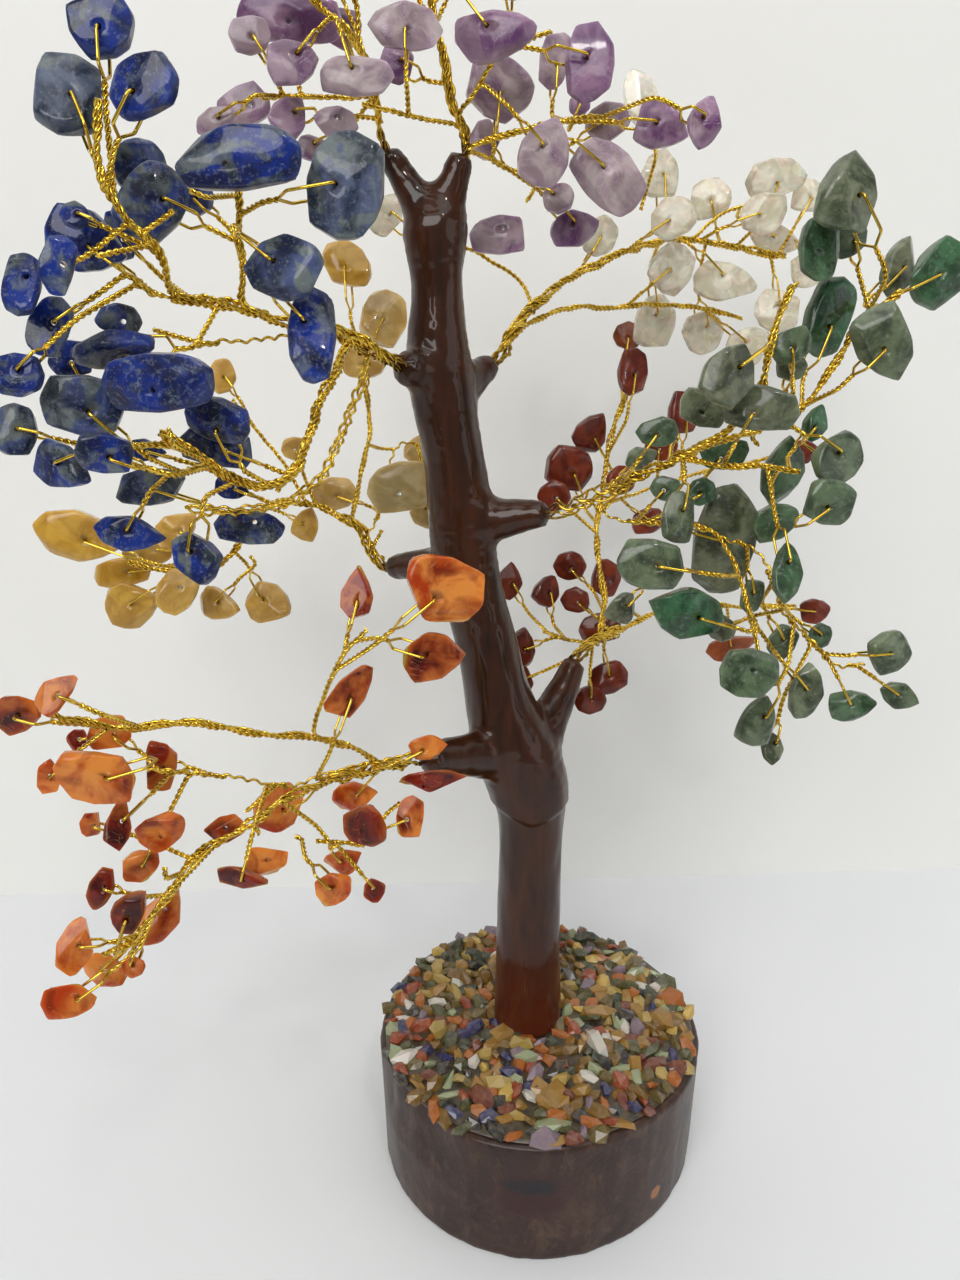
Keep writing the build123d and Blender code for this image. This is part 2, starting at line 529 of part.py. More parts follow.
jasper_chip_shares = (
    (628, 336, 34, 30, 0, -0.44, 10, "pebble"), (633, 372, 50, 32, 80, -0.40, 10, "slab"),
    (591, 433, 46, 38, 60, -0.38, 10, "wedge"), (569, 468, 52, 48, -20, -0.36, 10, "block"),
    (554, 496, 36, 34, 0, -0.32, 10, "pebble"), (684, 411, 48, 36, 80, -0.44, 10, "block"),
    (622, 480, 36, 30, 20, -0.35, 10, "pebble"), (660, 446, 38, 36, 0, -0.42, 10, "block"),
    (802, 452, 36, 32, 20, -0.52, 10, "wedge"), (648, 521, 38, 28, 10, -0.36, 10, "slab"),
    (570, 566, 36, 32, 0, -0.28, 10, "pebble"), (547, 590, 36, 30, 60, -0.28, 10, "wedge"),
    (576, 600, 32, 28, 0, -0.24, 10, "pebble"), (606, 578, 42, 32, 80, -0.30, 10, "block"),
    (716, 516, 30, 28, 0, -0.46, 10, "pebble"), (731, 647, 58, 34, 20, -0.38, 10, "shard"),
    (815, 611, 38, 32, 10, -0.48, 10, "wedge"), (608, 678, 42, 34, 20, -0.18, 10, "block"),
    (520, 648, 42, 34, 80, -0.22, 10, "wedge"), (519, 682, 42, 32, 80, -0.18, 10, "leaf"),
    (600, 628, 46, 32, 10, -0.25, 10, "slab"), (590, 700, 34, 30, 0, -0.15, 10, "pebble"),
    (509, 582, 44, 30, 80, -0.26, 10, "leaf"),
)
citrine_chip_shares = (
    (347, 264, 62, 50, -40, -0.34, 10, "leaf"), (384, 318, 66, 54, 70, -0.38, 10, "block"),
    (364, 362, 52, 36, 0, -0.30, 10, "slab"), (222, 376, 40, 30, 80, -0.28, 10, "pebble"),
    (404, 487, 76, 54, 10, -0.24, 10, "block"), (334, 494, 52, 36, 10, -0.22, 10, "slab"),
    (294, 448, 30, 26, 0, -0.20, 10, "pebble"), (306, 524, 38, 32, 70, -0.18, 10, "wedge"),
    (77, 536, 92, 60, -10, -0.12, 10, "leaf"), (122, 572, 66, 36, 10, -0.18, 15, "slab"),
    (132, 605, 62, 56, 10, -0.12, 10, "wedge"), (176, 592, 48, 42, 60, -0.14, 10, "block"),
    (218, 604, 50, 38, -20, -0.14, 10, "wedge"), (269, 604, 54, 50, -20, -0.15, 10, "wedge"),
    (421, 450, 44, 36, 20, -0.34, 10, "pebble"), (428, 512, 42, 38, 0, -0.28, 10, "pebble"),
    (150, 548, 60, 42, 10, -0.24, 10, "block"), (178, 528, 50, 40, 40, -0.22, 10, "wedge"),
)
carnelian_chip_shares = (
    (357, 594, 66, 44, 80, 0.33, 15, "shard"), (441, 590, 96, 76, -20, 0.36, 10, "block"),
    (435, 655, 82, 60, 20, 0.33, 15, "wedge"), (352, 690, 92, 46, 50, 0.34, 15, "shard"),
    (427, 747, 54, 34, 15, 0.21, 10, "leaf"), (430, 780, 94, 36, 5, 0.25, 20, "leaf"),
    (55, 694, 52, 38, 40, 0.48, 10, "shard"), (15, 712, 52, 46, 30, 0.50, 10, "block"),
    (77, 740, 32, 26, 80, 0.42, 10, "leaf"), (112, 732, 56, 44, 20, 0.40, 10, "wedge"),
    (160, 765, 66, 38, 80, 0.38, 15, "slab"), (98, 777, 88, 58, -10, 0.50, 10, "block"),
    (48, 778, 44, 28, 90, 0.44, 15, "leaf"), (92, 824, 34, 26, 80, 0.40, 10, "pebble"),
    (118, 826, 66, 34, 80, 0.43, 15, "shard"), (162, 830, 58, 50, 30, 0.46, 10, "wedge"),
    (141, 867, 44, 38, 0, 0.42, 10, "block"), (102, 885, 54, 32, 70, 0.48, 15, "shard"),
    (279, 811, 78, 64, 70, 0.40, 10, "pebble"), (268, 862, 52, 44, 0, 0.34, 10, "block"),
    (356, 796, 66, 42, 10, 0.17, 10, "wedge"), (223, 830, 48, 32, 20, 0.34, 10, "slab"),
    (242, 878, 74, 36, -20, 0.43, 20, "shard"), (367, 826, 60, 50, 20, 0.36, 10, "block"),
    (410, 818, 52, 34, 80, 0.28, 10, "slab"), (345, 862, 62, 34, 10, 0.34, 10, "leaf"),
    (336, 888, 50, 42, 20, 0.37, 10, "wedge"), (375, 890, 34, 28, 60, 0.32, 10, "pebble"),
    (130, 909, 62, 42, 60, 0.45, 15, "shard"), (161, 915, 78, 46, 65, 0.50, 10, "leaf"),
    (76, 944, 66, 46, 80, 0.50, 15, "shard"), (104, 970, 68, 40, -15, 0.53, 10, "leaf"),
    (72, 999, 60, 42, 0, 0.50, 10, "wedge"), (133, 966, 26, 24, 0, 0.48, 0, "pebble"),
)

# Each branch: its chips, the length of a chip in millimetres and pixels, and the chips by number
# that hang loose enough to swing on their wire
branches = {
    "lapis": (lapis_chip_shares, lapis_length / lapis_pixels, (2, 5, 11)),
    "carnelian": (carnelian_chip_shares, carnelian_length / carnelian_pixels, (1, 7, 32)),
    "aventurine": (aventurine_chip_shares, aventurine_length / aventurine_pixels, (0, 4, 38)),
    "amethyst_right": (amethyst_right_chip_shares, amethyst_length / amethyst_pixels, (4, 8, 19)),
    "amethyst_left": (amethyst_left_chip_shares, amethyst_length / amethyst_pixels, (0, 7)),
    "quartz": (quartz_chip_shares, quartz_length / quartz_pixels, (1, 15)),
    "jasper": (jasper_chip_shares, jasper_length / jasper_pixels, (0, 15)),
    "citrine": (citrine_chip_shares, citrine_length / citrine_pixels, (0, 10)),
}


class Chip:
    """A drilled chip on its wire: a middle, long, cross and hole directions, and sizes."""

    def __init__(self, row, number, scale, slip, shrink, swings):
        x, y, long_pixels, short_pixels, turn, near, lean, form = row
        place = picture_point(x, y, near)
        self.middle = plus(place, unit(minus(place, eye)), slip)
        self.length = long_pixels * scale * shrink
        self.width = short_pixels * scale * shrink
        self.thickness = self.width * chip_thickness_share
        self.form = form_shares[form]
        self.swings = swings
        sway = radians(sway_degrees * sin(number * sway_step))
        turn, lean = radians(turn), radians(lean)
        self.long = plus(plus((0, 0, 0), right, cos(turn)), up, sin(turn))
        side = plus(plus((0, 0, 0), right, -sin(turn)), up, cos(turn))
        hole = plus(plus((0, 0, 0), side, -sin(lean)), toward, cos(lean))
        self.hole = unit(plus(plus((0, 0, 0), hole, cos(sway)), self.long, sin(sway)))
        self.long = unit(minus(self.long, plus((0, 0, 0), self.hole, dot(self.hole, self.long))))
        self.cross = cross(self.hole, self.long)

    def rim(self):
        """The outline's points in the chip's own plane."""
        points = []
        for corner, share in enumerate(self.form):
            angle = tau * corner / len(self.form)
            points.append((self.length / 2 * share * cos(angle), self.width / 2 * share * sin(angle)))
        return points

    def at(self, a, b, c):
        place = plus(self.middle, self.long, a)
        return plus(plus(place, self.cross, b), self.hole, c)

    def face(self, root):
        """Set the hole and the loop toward the twig's root."""
        away = minus(root, self.middle)
        flat = (dot(away, self.long), dot(away, self.cross))
        angle = atan2(flat[1], flat[0])
        self.out = (cos(angle), sin(angle))
        edge = max(a * self.out[0] + b * self.out[1] for a, b in self.rim())
        self.hole_at = (edge * hole_place_share * self.out[0], edge * hole_place_share * self.out[1])
        self.sweep = radians(swing_degrees) if self.swings else 0
        spread = self.sweep + radians(edge_spread_degrees)
        reach = 0
        rim = self.rim()
        for (a, b), (c, d) in zip(rim, rim[1:] + rim[:1]):
            for step in range(4):
                p = a + (c - a) * step / 4 - self.hole_at[0]
                q = b + (d - b) * step / 4 - self.hole_at[1]
                across, along = q * self.out[0] - p * self.out[1], p * self.out[0] + q * self.out[1]
                if abs(atan2(across, along)) < spread:
                    reach = max(reach, sqrt(p * p + q * q))
        self.reach = reach * edge_room_share + loop_clearance
        self.rise = self.thickness / 2 + loop_clearance + wire_width / 2
        self.knot = self.from_hole(self.reach + self.rise * knot_rise_share, 0)

    def from_hole(self, along, above):
        """A place so far from the hole toward the twig, and so far above the chip's middle."""
        return self.at(self.hole_at[0] + along * self.out[0], self.hole_at[1] + along * self.out[1], above)

    def lumps(self, owner):
        points = []
        for step in ((-1, -0.5, 0, 0.5, 1) if self.swings else (0,)):
            angle = step * self.sweep
            for a, b in self.rim():
                p, q = a - self.hole_at[0], b - self.hole_at[1]
                a = self.hole_at[0] + p * cos(angle) - q * sin(angle)
                b = self.hole_at[1] + p * sin(angle) + q * cos(angle)
                points += [self.at(a, b, 0), self.at(a * face_share, b * face_share, self.thickness / 2)]
                points += [self.at(a * face_share, b * face_share, -self.thickness / 2)]
        loop = [self.from_hole(0, self.rise), self.from_hole(0, -self.rise), self.knot]
        loop += [self.from_hole(self.reach, self.rise), self.from_hole(self.reach, -self.rise)]
        return [Lump(points, self.thickness * face_skin_share, owner), Lump(loop, wire_width / 2, owner)]


def twig_choices(branch, target, used):
    """Places where a twig to the target could leave the branch's wires, the best first."""
    places, continued = stations[branch]
    choices = []
    for wire, line in enumerate(places):
        radius = wire_runs[branch][wire][1]
        for index in range(2, len(line)):
            seat, along = line[index]
            away = minus(target, seat)
            distance = size(away)
            lean = between(along, away)
            last = index == len(line) - 1
            if last and wire in continued:
                continue
            if last and (lean > radians(tip_lean_degrees) or (wire, index) in used):
                continue
            if not (last or radians(least_lean_degrees) < lean < radians(most_lean_degrees)):
                continue
            crowd = sum(1 for w, i in used if w == wire and abs(i - index) < 1)
            cost = distance + crowd_share * crowd * station_pitch
            cost += 0 if lean < radians(easy_lean_degrees) else station_pitch
            cost += radius * 2 - (crowd_share * station_pitch if last else 0)
            choices.append((cost, wire, index))
    return sorted(choices)[:most_choices]


def clear(lumps, others, clearance, skip=None):
    for lump in lumps:
        for other in others:
            if other.owner == skip or not other.near(lump.middle, lump.reach + clearance):
                continue
            if not lump.clear_of(other, clearance):
                return False
    return True


def twig_route(chip, seat, along, last, stem_radius):
    """The twig's bends, from beside or beyond its stem to the knot at the chip's edge."""
    radius = twig_width / 2
    if last:
        start = plus(seat, along, seat_clearance)
        route = [start, plus(start, along, twig_lead)]
    else:
        away = unit(minus(chip.knot, seat))
        lean = between(along, away)
        lean = max(min(lean, pi - lean), radians(steepest_lean_degrees))
        route = [plus(seat, away, (stem_radius + root_clearance + radius * cos(lean)) / sin(lean))]
    span = size(minus(chip.knot, route[-1]))
    approach = unit(minus(chip.knot, chip.from_hole(0, 0)))
    route += [plus(chip.knot, approach, twig_bend_share * span), chip.knot]
    turns = [between(minus(b, a), minus(c, b)) for a, b, c in zip(route, route[1:], route[2:])]
    corners, radii = bends(route)
    ahead = dot(minus(chip.knot, route[0]), minus(chip.knot, seat)) > 0
    fits = ahead and span > least_twig_share * twig_width and max(turns) < radians(tip_lean_degrees)
    return route if fits and (not radii or min(radii) > least_bend_share * twig_width) else None


def hang(branch, row, number, scale, swings, used):
    """Find room for a chip and its twig: the place that the picture shows, or one behind or before."""
    owner = f"{branch} chip {number}"
    slips = [0]
    for step in range(1, slip_steps + 1):
        slips += [slip_step * step, -slip_step * step]
    tries = ((1, twig_reach), (1, far_twig_reach))
    tries += ((smaller_share, twig_reach), (smallest_share, far_twig_reach))
    for shrink, longest in tries:
        for slip in slips:
            chip = Chip(row, number, scale, slip, shrink, swings)
            others = [lump for lump in occupied if lump.near(chip.middle, chip.length * 2)]
            for cost, wire, index in twig_choices(branch, chip.middle, used):
                if cost > longest + chip.length / 2:
                    break
                places = stations[branch][0][wire]
                seat, along = places[index]
                chip.face(seat)
                lumps = chip.lumps(owner)
                if not clear(lumps, others, chip_clearance):
                    continue
                route = twig_route(chip, seat, along, index == len(places) - 1, wire_runs[branch][wire][1])
                if route is None:
                    continue
                twig = wire_lumps(traced(route, trace_pitch), twig_width / 2, owner)
                if not clear(twig[:1], occupied, seat_clearance, f"{branch} wire {wire}"):
                    continue
                if not clear(twig[1:], occupied, seat_clearance):
                    continue
                used.append((wire, index))
                occupied.extend(lumps + twig)
                chip.route, chip.slip, chip.shrink, chip.place = route, slip, shrink, (wire, index)
                return chip
    print("no room for", owner)
    return None


# Hang the chips, the largest first, on the wires of their branch
hung = {}
for branch, (rows, scale, loose) in branches.items():
    used = []
    hung[branch] = {}
    for number in sorted(range(len(rows)), key=lambda n: -rows[n][2] * rows[n][3]):
        chip = hang(branch, rows[number], number, scale, number in loose, used)
        if chip:
            hung[branch][number] = chip


def chip_solid(chip):
    """A tumbled chip: a loft through its outline at five levels, drilled through its thickness."""
    sections = []
    for level, share in level_shares:
        points = [Vector(a * share, b * share, chip.thickness * level) for a, b in chip.rim()]
        sections.append(Face(Wire([Spline(*points, periodic=True)])))
    drill = Pos(*chip.hole_at, 0) * Cylinder(hole_width / 2, chip.thickness + 2 * overrun)
    body = loft(sections) - drill
    place = Plane(origin=Vector(*chip.middle), x_dir=Vector(*chip.long), z_dir=Vector(*chip.hole))
    return place * body


def twig_solid(chip):
    """A twig of two twisted strands that closes in a loop of one strand through the chip's hole."""
    corners = [chip.from_hole(0, chip.rise), chip.from_hole(chip.reach, chip.rise), chip.knot]
    corners += [chip.from_hole(chip.reach, -chip.rise), chip.from_hole(0, -chip.rise)]
    turn = loop_clearance + wire_width / 2
    path = FilletPolyline(*vectors(corners), radius=turn, close=True)
    loop = sweep(Plane(origin=path @ 0, z_dir=path % 0) * Circle(wire_width / 2), path=path)
    return loop + tube(chip.route, twig_width / 2)


# The wood slice, with the blind hole that the core is glued into
def slice_outline(radius, height):
    count = len(base_outline_shares)
    points = [Vector(radius * share * cos(tau * i / count), radius * share * sin(tau * i / count), height)
              for i, share in enumerate(base_outline_shares)]
    return Face(Wire([Spline(*points, periodic=True)]))


slice_faces = [slice_outline(base_radius * base_foot_share, 0)]
slice_faces.append(slice_outline(base_radius, base_height - base_edge_round))
slice_faces.append(slice_outline(base_radius - base_edge_round, base_height))
foot_middle = Pos(foot_place[0], foot_place[1], 0)
peg_hole = foot_middle * Pos(0, 0, base_top - peg_depth / 2)
peg_hole = peg_hole * Cylinder(core_width / 2 + peg_clearance, peg_depth)
write("base_disc", [loft(slice_faces, ruled=True) - peg_hole])

# The resin bed, and the gravel pressed onto it, thinned out round the trunk's foot
bed_radius = base_radius - base_edge_round - bed_margin
foot_radius = trunk_foot_share * trunk_width / 2
bed = extrude(slice_outline(bed_radius, base_top), bed_thickness, dir=(0, 0, 1))
foot_hole = foot_middle * Pos(0, 0, base_top + bed_thickness / 2)
write("gravel_bed", [bed - foot_hole * Cylinder(foot_radius + foot_clearance, bed_thickness + 2 * overrun)])

gravel = []
gravel_count = int((bed_radius / gravel_pitch) ** 2 * pi)
for number in range(gravel_count):
    angle = number * pi * (3 - sqrt(5))
    away = bed_radius * min(base_outline_shares) * sqrt((number + 0.5) / gravel_count) - gravel_length / 2
    x, y = away * cos(angle), away * sin(angle)
    from_foot = sqrt((x - foot_place[0]) ** 2 + (y - foot_place[1]) ** 2)
    if away < 0 or from_foot < foot_radius + gravel_length / 2:
        continue
    radius = gravel_length / 2 * gravel_length_shares[number % len(gravel_length_shares)]
    height = gravel_height * gravel_height_shares[number % len(gravel_height_shares)]
    outline = RegularPolygon(radius, gravel_sides[number % len(gravel_sides)], rotation=degrees(angle))
    bit = extrude(outline, height, taper=gravel_side_taper)
    gravel.append(Pos(x, y, base_top + bed_thickness) * bit)
write("gravel_chips", gravel)

# The trunk's core of gathered wires: a spine from the peg to the fork, and an arm to each stub
peg_foot = plus(foot_place, (0, 0, 1), peg_clearance - peg_depth)
spine_line = [peg_foot] + [place for place, share in trunk_line]


def core(extra, past):
    body = tube(spine_line, core_width / 2 + extra)
    for root, tip, root_share, tip_share in stub_line.values():
        end = plus(tip, unit(minus(tip, root)), past)
        body = body + tube([root, end], arm_width / 2 + extra)
    return body


write("trunk_core", [core(0, 0)])

# The putty skin over it, with its stubs
trunk_top = trunk_line[-1][0][2]
level_count = round((trunk_top - base_top) / trunk_level_pitch)
levels = [base_top + (trunk_top - base_top) * level / level_count for level in range(level_count + 1)]


def trunk_section(height):
    """The trunk's round section at a height, between those that the picture gives."""
    for (low, low_share), (high, high_share) in zip(trunk_line, trunk_line[1:]):
        if height <= high[2] or high is trunk_line[-1][0]:
            part = (height - low[2]) / (high[2] - low[2])
            place = plus(low, minus(high, low), part)
            return Pos(*place) * Circle((low_share + (high_share - low_share) * part) * trunk_width / 2)


trunk = loft([trunk_section(height) for height in levels])
for root, tip, root_share, tip_share in stub_line.values():
    halfway = plus(root, minus(tip, root), 0.5)
    waist = (root_share + tip_share) / 2 * waist_share
    stations_along = [(root, root_share * stub_width / 2), (halfway, waist * stub_width / 2)]
    trunk = trunk + cone(stations_along + [(tip, tip_share * stub_width / 2)])
write("trunk_skin", [trunk - core(skin_clearance, overrun)])

# The branches
for branch, runs in wire_runs.items():
    tubes = [tube(route, radius) for route, radius in runs]
    write(f"{branch}_bundle", tubes[:1])
    write(f"{branch}_stems", tubes[1:])
    chips = hung[branch]
    loose = branches[branch][2]
    write(f"{branch}_twigs", [twig_solid(chip) for chip in chips.values()])
    write(f"{branch}_chips", [chip_solid(chip) for number, chip in chips.items() if number not in loose])
    for order, number in enumerate(loose):
        name = f"{branch}_swinging_chip_{order + 1}"
        write(name, [chip_solid(chips[number])])
        pivot = chips[number].from_hole(0, 0)
        print("hinge", name, *(round(v, 4) for v in pivot), *(round(v, 6) for v in chips[number].hole))
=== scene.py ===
from math import acos, atan2, cos, pi, radians, sin, sqrt, tan, tau

import bmesh
import bpy
import numpy as np
from mathutils import Matrix, Vector, noise


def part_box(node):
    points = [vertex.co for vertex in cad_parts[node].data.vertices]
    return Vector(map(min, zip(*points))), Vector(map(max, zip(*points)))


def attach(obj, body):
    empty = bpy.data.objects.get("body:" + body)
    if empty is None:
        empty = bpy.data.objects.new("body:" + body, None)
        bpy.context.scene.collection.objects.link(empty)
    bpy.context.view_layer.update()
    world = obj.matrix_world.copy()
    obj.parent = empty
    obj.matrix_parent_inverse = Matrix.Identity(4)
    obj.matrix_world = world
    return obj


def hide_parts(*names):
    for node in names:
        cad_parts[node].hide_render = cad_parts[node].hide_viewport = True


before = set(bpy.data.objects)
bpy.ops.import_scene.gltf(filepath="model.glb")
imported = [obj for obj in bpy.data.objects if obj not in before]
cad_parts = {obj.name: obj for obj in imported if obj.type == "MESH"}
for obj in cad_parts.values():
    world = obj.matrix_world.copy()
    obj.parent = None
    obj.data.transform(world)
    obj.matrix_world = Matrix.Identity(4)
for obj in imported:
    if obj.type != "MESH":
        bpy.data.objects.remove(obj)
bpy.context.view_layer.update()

# The table top, the wall, the light and the viewpoint
# A white table top runs back to a pale wall, in soft daylight from a window and the ceiling.
# The tree is seen from a little above its crown and from close by, in upright format.
# The tree's own sizes and places are in millimetres, from here to the end.
mm = 0.001
eye_side = -11.0
eye_distance = 159.3
eye_rise = 132.2
look_down = 18.135
picture_focus = 961
picture_middle = (480, 640)
picture_height = 1280
sensor_side = 36.0
crown_depth = 100.0
base_top = round(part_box("base_disc")[1][2] / mm, 3)
table_reach = 1.6
table_front = 0.34
wall_distance = 0.0916
wall_turn = 0.051
table_colour = (0.77, 0.785, 0.80)
wall_colour = (0.85, 0.85, 0.825)
daylight_colour = (0.95, 0.97, 1.0)
stage_roughness = 0.6
stage_glow = 0.5
room_light = 0.13
room_shown = 0.3


def plus(a, b, times=1):
    """A place moved along a direction, by some times its length."""
    return (a[0] + b[0] * times, a[1] + b[1] * times, a[2] + b[2] * times)


def scaled(a, times):
    return (a[0] * times, a[1] * times, a[2] * times)


right = (1, 0, 0)
up = (0, sin(radians(look_down)), cos(radians(look_down)))
toward = (0, -cos(radians(look_down)), sin(radians(look_down)))
eye = (eye_side, -eye_distance, base_top + eye_rise)


def picture_point(x, y, near):
    """The point seen at pixel x, y that lies near shares of the crown's depth before the trunk."""
    ray = plus(scaled(toward, -1), right, (x - picture_middle[0]) / picture_focus)
    ray = plus(ray, up, (picture_middle[1] - y) / picture_focus)
    return plus(eye, ray, (eye_distance - near * crown_depth) / ray[1])


def new_object(name, data):
    thing = bpy.data.objects.new(name, data)
    bpy.context.scene.collection.objects.link(thing)
    return thing


def first_output(source):
    """The output socket that is meant: the socket itself, or a node's first live one."""
    if isinstance(source, bpy.types.NodeSocket):
        return source
    return next(socket for socket in source.outputs if socket.enabled)


def link(tree, source, socket):
    tree.links.new(first_output(source), socket)


def add(tree, kind, settings=None, **sockets):
    """A node with its settings, and its inputs by name or number, each a value or another node."""
    node = tree.nodes.new(kind)
    for key, value in (settings or {}).items():
        setattr(node, key, value)
    for key, value in sockets.items():
        numbered = key[1:].isdigit()
        socket = node.inputs[int(key[1:])] if numbered else node.inputs[key.replace("_", " ")]
        if isinstance(value, (bpy.types.Node, bpy.types.NodeSocket)):
            link(tree, value, socket)
        else:
            socket.default_value = value
    return node


def reckon(tree, operation, *terms):
    """One step of arithmetic on numbers, nodes or sockets."""
    inputs = {f"i{number}": term for number, term in enumerate(terms)}
    return add(tree, "ShaderNodeMath", {"operation": operation}, **inputs)


def new_material(name, **sockets):
    """A material, its node tree and its Principled shader, with the shader's plain sockets set."""
    material = bpy.data.materials.new(name)
    material.use_nodes = True
    shader = material.node_tree.nodes["Principled BSDF"]
    for socket, value in sockets.items():
        shader.inputs[socket.replace("_", " ")].default_value = value
    return material, material.node_tree, shader


def backdrop(name, corners, colour):
    """A flat sheet that is bright through clear stones, and is seen from its face alone."""
    mesh = bpy.data.meshes.new(name)
    mesh.from_pydata(corners, [], [range(len(corners))])
    material, tree, shader = new_material(name, Base_Color=(*colour, 1), Roughness=stage_roughness)
    glow = add(tree, "ShaderNodeEmission", Color=(*colour, 1))
    path = add(tree, "ShaderNodeLightPath")
    glow_share = reckon(tree, "MULTIPLY", path.outputs["Is Transmission Ray"], stage_glow)
    face = add(tree, "ShaderNodeMixShader", i0=glow_share, i1=shader, i2=glow)
    turned = add(tree, "ShaderNodeNewGeometry")
    gone = add(tree, "ShaderNodeBsdfTransparent")
    one_sided = add(tree, "ShaderNodeMixShader", i0=turned.outputs["Backfacing"], i1=face, i2=gone)
    link(tree, one_sided, tree.nodes["Material Output"].inputs["Surface"])
    mesh.materials.append(material)
    new_object(name, mesh)


left, far = -table_reach, table_reach
wall_left, wall_right = wall_distance + wall_turn * left, wall_distance + wall_turn * far
table_corners = [(left, -table_front, 0), (far, -table_front, 0), (far, far, 0), (left, far, 0)]
wall_corners = [(left, wall_left, 0), (far, wall_right, 0), (far, wall_right, far), (left, wall_left, far)]
backdrop("table_top", table_corners, table_colour)
backdrop("wall", wall_corners, wall_colour)

# Each lamp's name, place and width in metres, power in watts and colour
lamps = (
    ("window_light", (-0.34, -0.95, 0.75), 0.75, 8.0, (1.0, 0.99, 0.97)),
    ("ceiling_light", (0.1, -0.2, 0.95), 0.9, 3.2, (1.0, 0.99, 0.98)),
    ("fill_light", (0.72, -0.42, 0.3), 0.6, 0.9, (0.97, 0.98, 1.0)),
    ("lamp_light", (0.14, -0.45, 0.7), 0.05, 0.5, (1.0, 0.97, 0.93)),
)
for name, place, width, power, colour in lamps:
    lamp = bpy.data.lights.new(name, "AREA")
    lamp.shape = "DISK"
    lamp.size = width
    lamp.energy = power
    lamp.color = colour
    lamp_object = new_object(name, lamp)
    lamp_object.location = place
    aim = Vector((0, 0, eye[2] * mm)) - Vector(place)
    lamp_object.rotation_euler = aim.to_track_quat("-Z", "Y").to_euler()

# The room beyond the table lights the tree softly, and looks brighter where it is seen or mirrored
world = bpy.data.worlds.new("daylight")
world.use_nodes = True
tree = world.node_tree
background = tree.nodes["Background"]
background.inputs["Color"].default_value = (*daylight_colour, 1)
rays = add(tree, "ShaderNodeLightPath").outputs
seen = reckon(tree, "MAXIMUM", rays["Is Camera Ray"], rays["Is Glossy Ray"])
seen = reckon(tree, "MAXIMUM", seen, rays["Is Transmission Ray"])
level = add(tree, "ShaderNodeMapRange", Value=seen, i3=room_light, i4=room_shown)
link(tree, level, background.inputs["Strength"])
bpy.context.scene.world = world
bpy.context.scene.view_settings.view_transform = "Standard"

camera_data = bpy.data.cameras.new("camera")
camera_data.sensor_fit = "VERTICAL"
camera_data.sensor_height = sensor_side
camera_data.lens = picture_focus * sensor_side / picture_height
camera_data.clip_start = mm
camera = new_object("camera", camera_data)
camera.location = Vector(eye) * mm
camera.rotation_euler = (radians(90 - look_down), 0, 0)
bpy.context.scene.camera = camera


# The slice of wood
# A round of a branch, sanded flat, stained dark and varnished. One side was flattened by the saw,
# a flake of bark has left a bevel at the front left, and a knot shows in the front.
slice_radius = 32.0
slice_foot_share = 0.975
slice_outline_shares = (1.0, 0.995, 1.005, 1.0, 0.985, 0.955, 0.955, 0.985, 1.0, 1.005, 0.99, 1.0)
slice_edge_round = 0.9
slice_edge_turns = (30, 60, 90)
slice_foot_inset = 0.25
slice_top_shares = (0.66, 0.33, 0)
slice_around = 240
slice_rows = 44
peg_hole_radius = 2.95
peg_depth = 16.0
foot_pixels = (527, 1030)
flake_bearing = radians(218)
flake_width = radians(24)
flake_depth = 1.5
flake_steepness = 2.2
flake_height_share = 0.52
flake_ragged_share = 0.3
flake_ragged_turns = 20
knot_pixels = (530, 1188)
speck_pixels = (659, 1195)
heart_shift = (0.5, 0, -2.6)
seen_steps = 12
oval_sway = 0.9
oval_limit = 1.45
# The streaks down the wood's wall: their depth, their turns round and up, and their seed
wall_streaks = ((0.22, 9, 0.05, 3), (0.09, 28, 0.12, 8))
stain_colours = ((0.3, (0.017, 0.009, 0.007)), (0.52, (0.042, 0.020, 0.014)), (0.74, (0.088, 0.050, 0.032)))


def round_shares(shares, count):
    """A smooth closed run of count shares through the few given ones."""
    waves = np.fft.rfft(shares)
    return np.fft.irfft(waves, count) * count / len(shares)


def band_faces(rings, around, closed=False, first=0):
    """The faces from each ring of points to the next, and if closed also from the last to the first."""
    faces = []
    for row in range(rings if closed else rings - 1):
        low, high = first + row * around, first + (row + 1) % rings * around
        for i in range(around):
            j = (i + 1) % around
            faces.append((low + i, low + j, high + j, high + i))
    return faces


def make_mesh(name, points, faces):
    """A smooth mesh from millimetre points, with its faces turned outwards."""
    mesh = bpy.data.meshes.new(name)
    mesh.from_pydata([tuple(p[i] * mm for i in range(3)) for p in points], [], faces)
    shell = bmesh.new()
    shell.from_mesh(mesh)
    bmesh.ops.recalc_face_normals(shell, faces=shell.faces)
    shell.to_mesh(mesh)
    shell.free()
    mesh.shade_smooth()
    return mesh


def finish_piece(mesh, name, material, nodes, body="root"):
    """The piece's object, with its material, riding on its body in place of its plain nodes."""
    mesh.materials.clear()
    mesh.materials.append(material)
    piece = new_object(name, mesh)
    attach(piece, body)
    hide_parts(*nodes)


def spread_over(tree, value, low, high, first=0.0, last=1.0):
    """A value's range brought to another, and held there."""
    return add(tree, "ShaderNodeMapRange", Value=value, i1=low, i2=high, i3=first, i4=last).outputs[0]


def mixed(tree, share, first, second):
    """One colour over another by a share; colours may be plain triples."""
    first, second = [(*c, 1) if isinstance(c, tuple) else c for c in (first, second)]
    return add(tree, "ShaderNodeMix", {"data_type": "RGBA"}, i0=share, i6=first, i7=second).outputs[2]


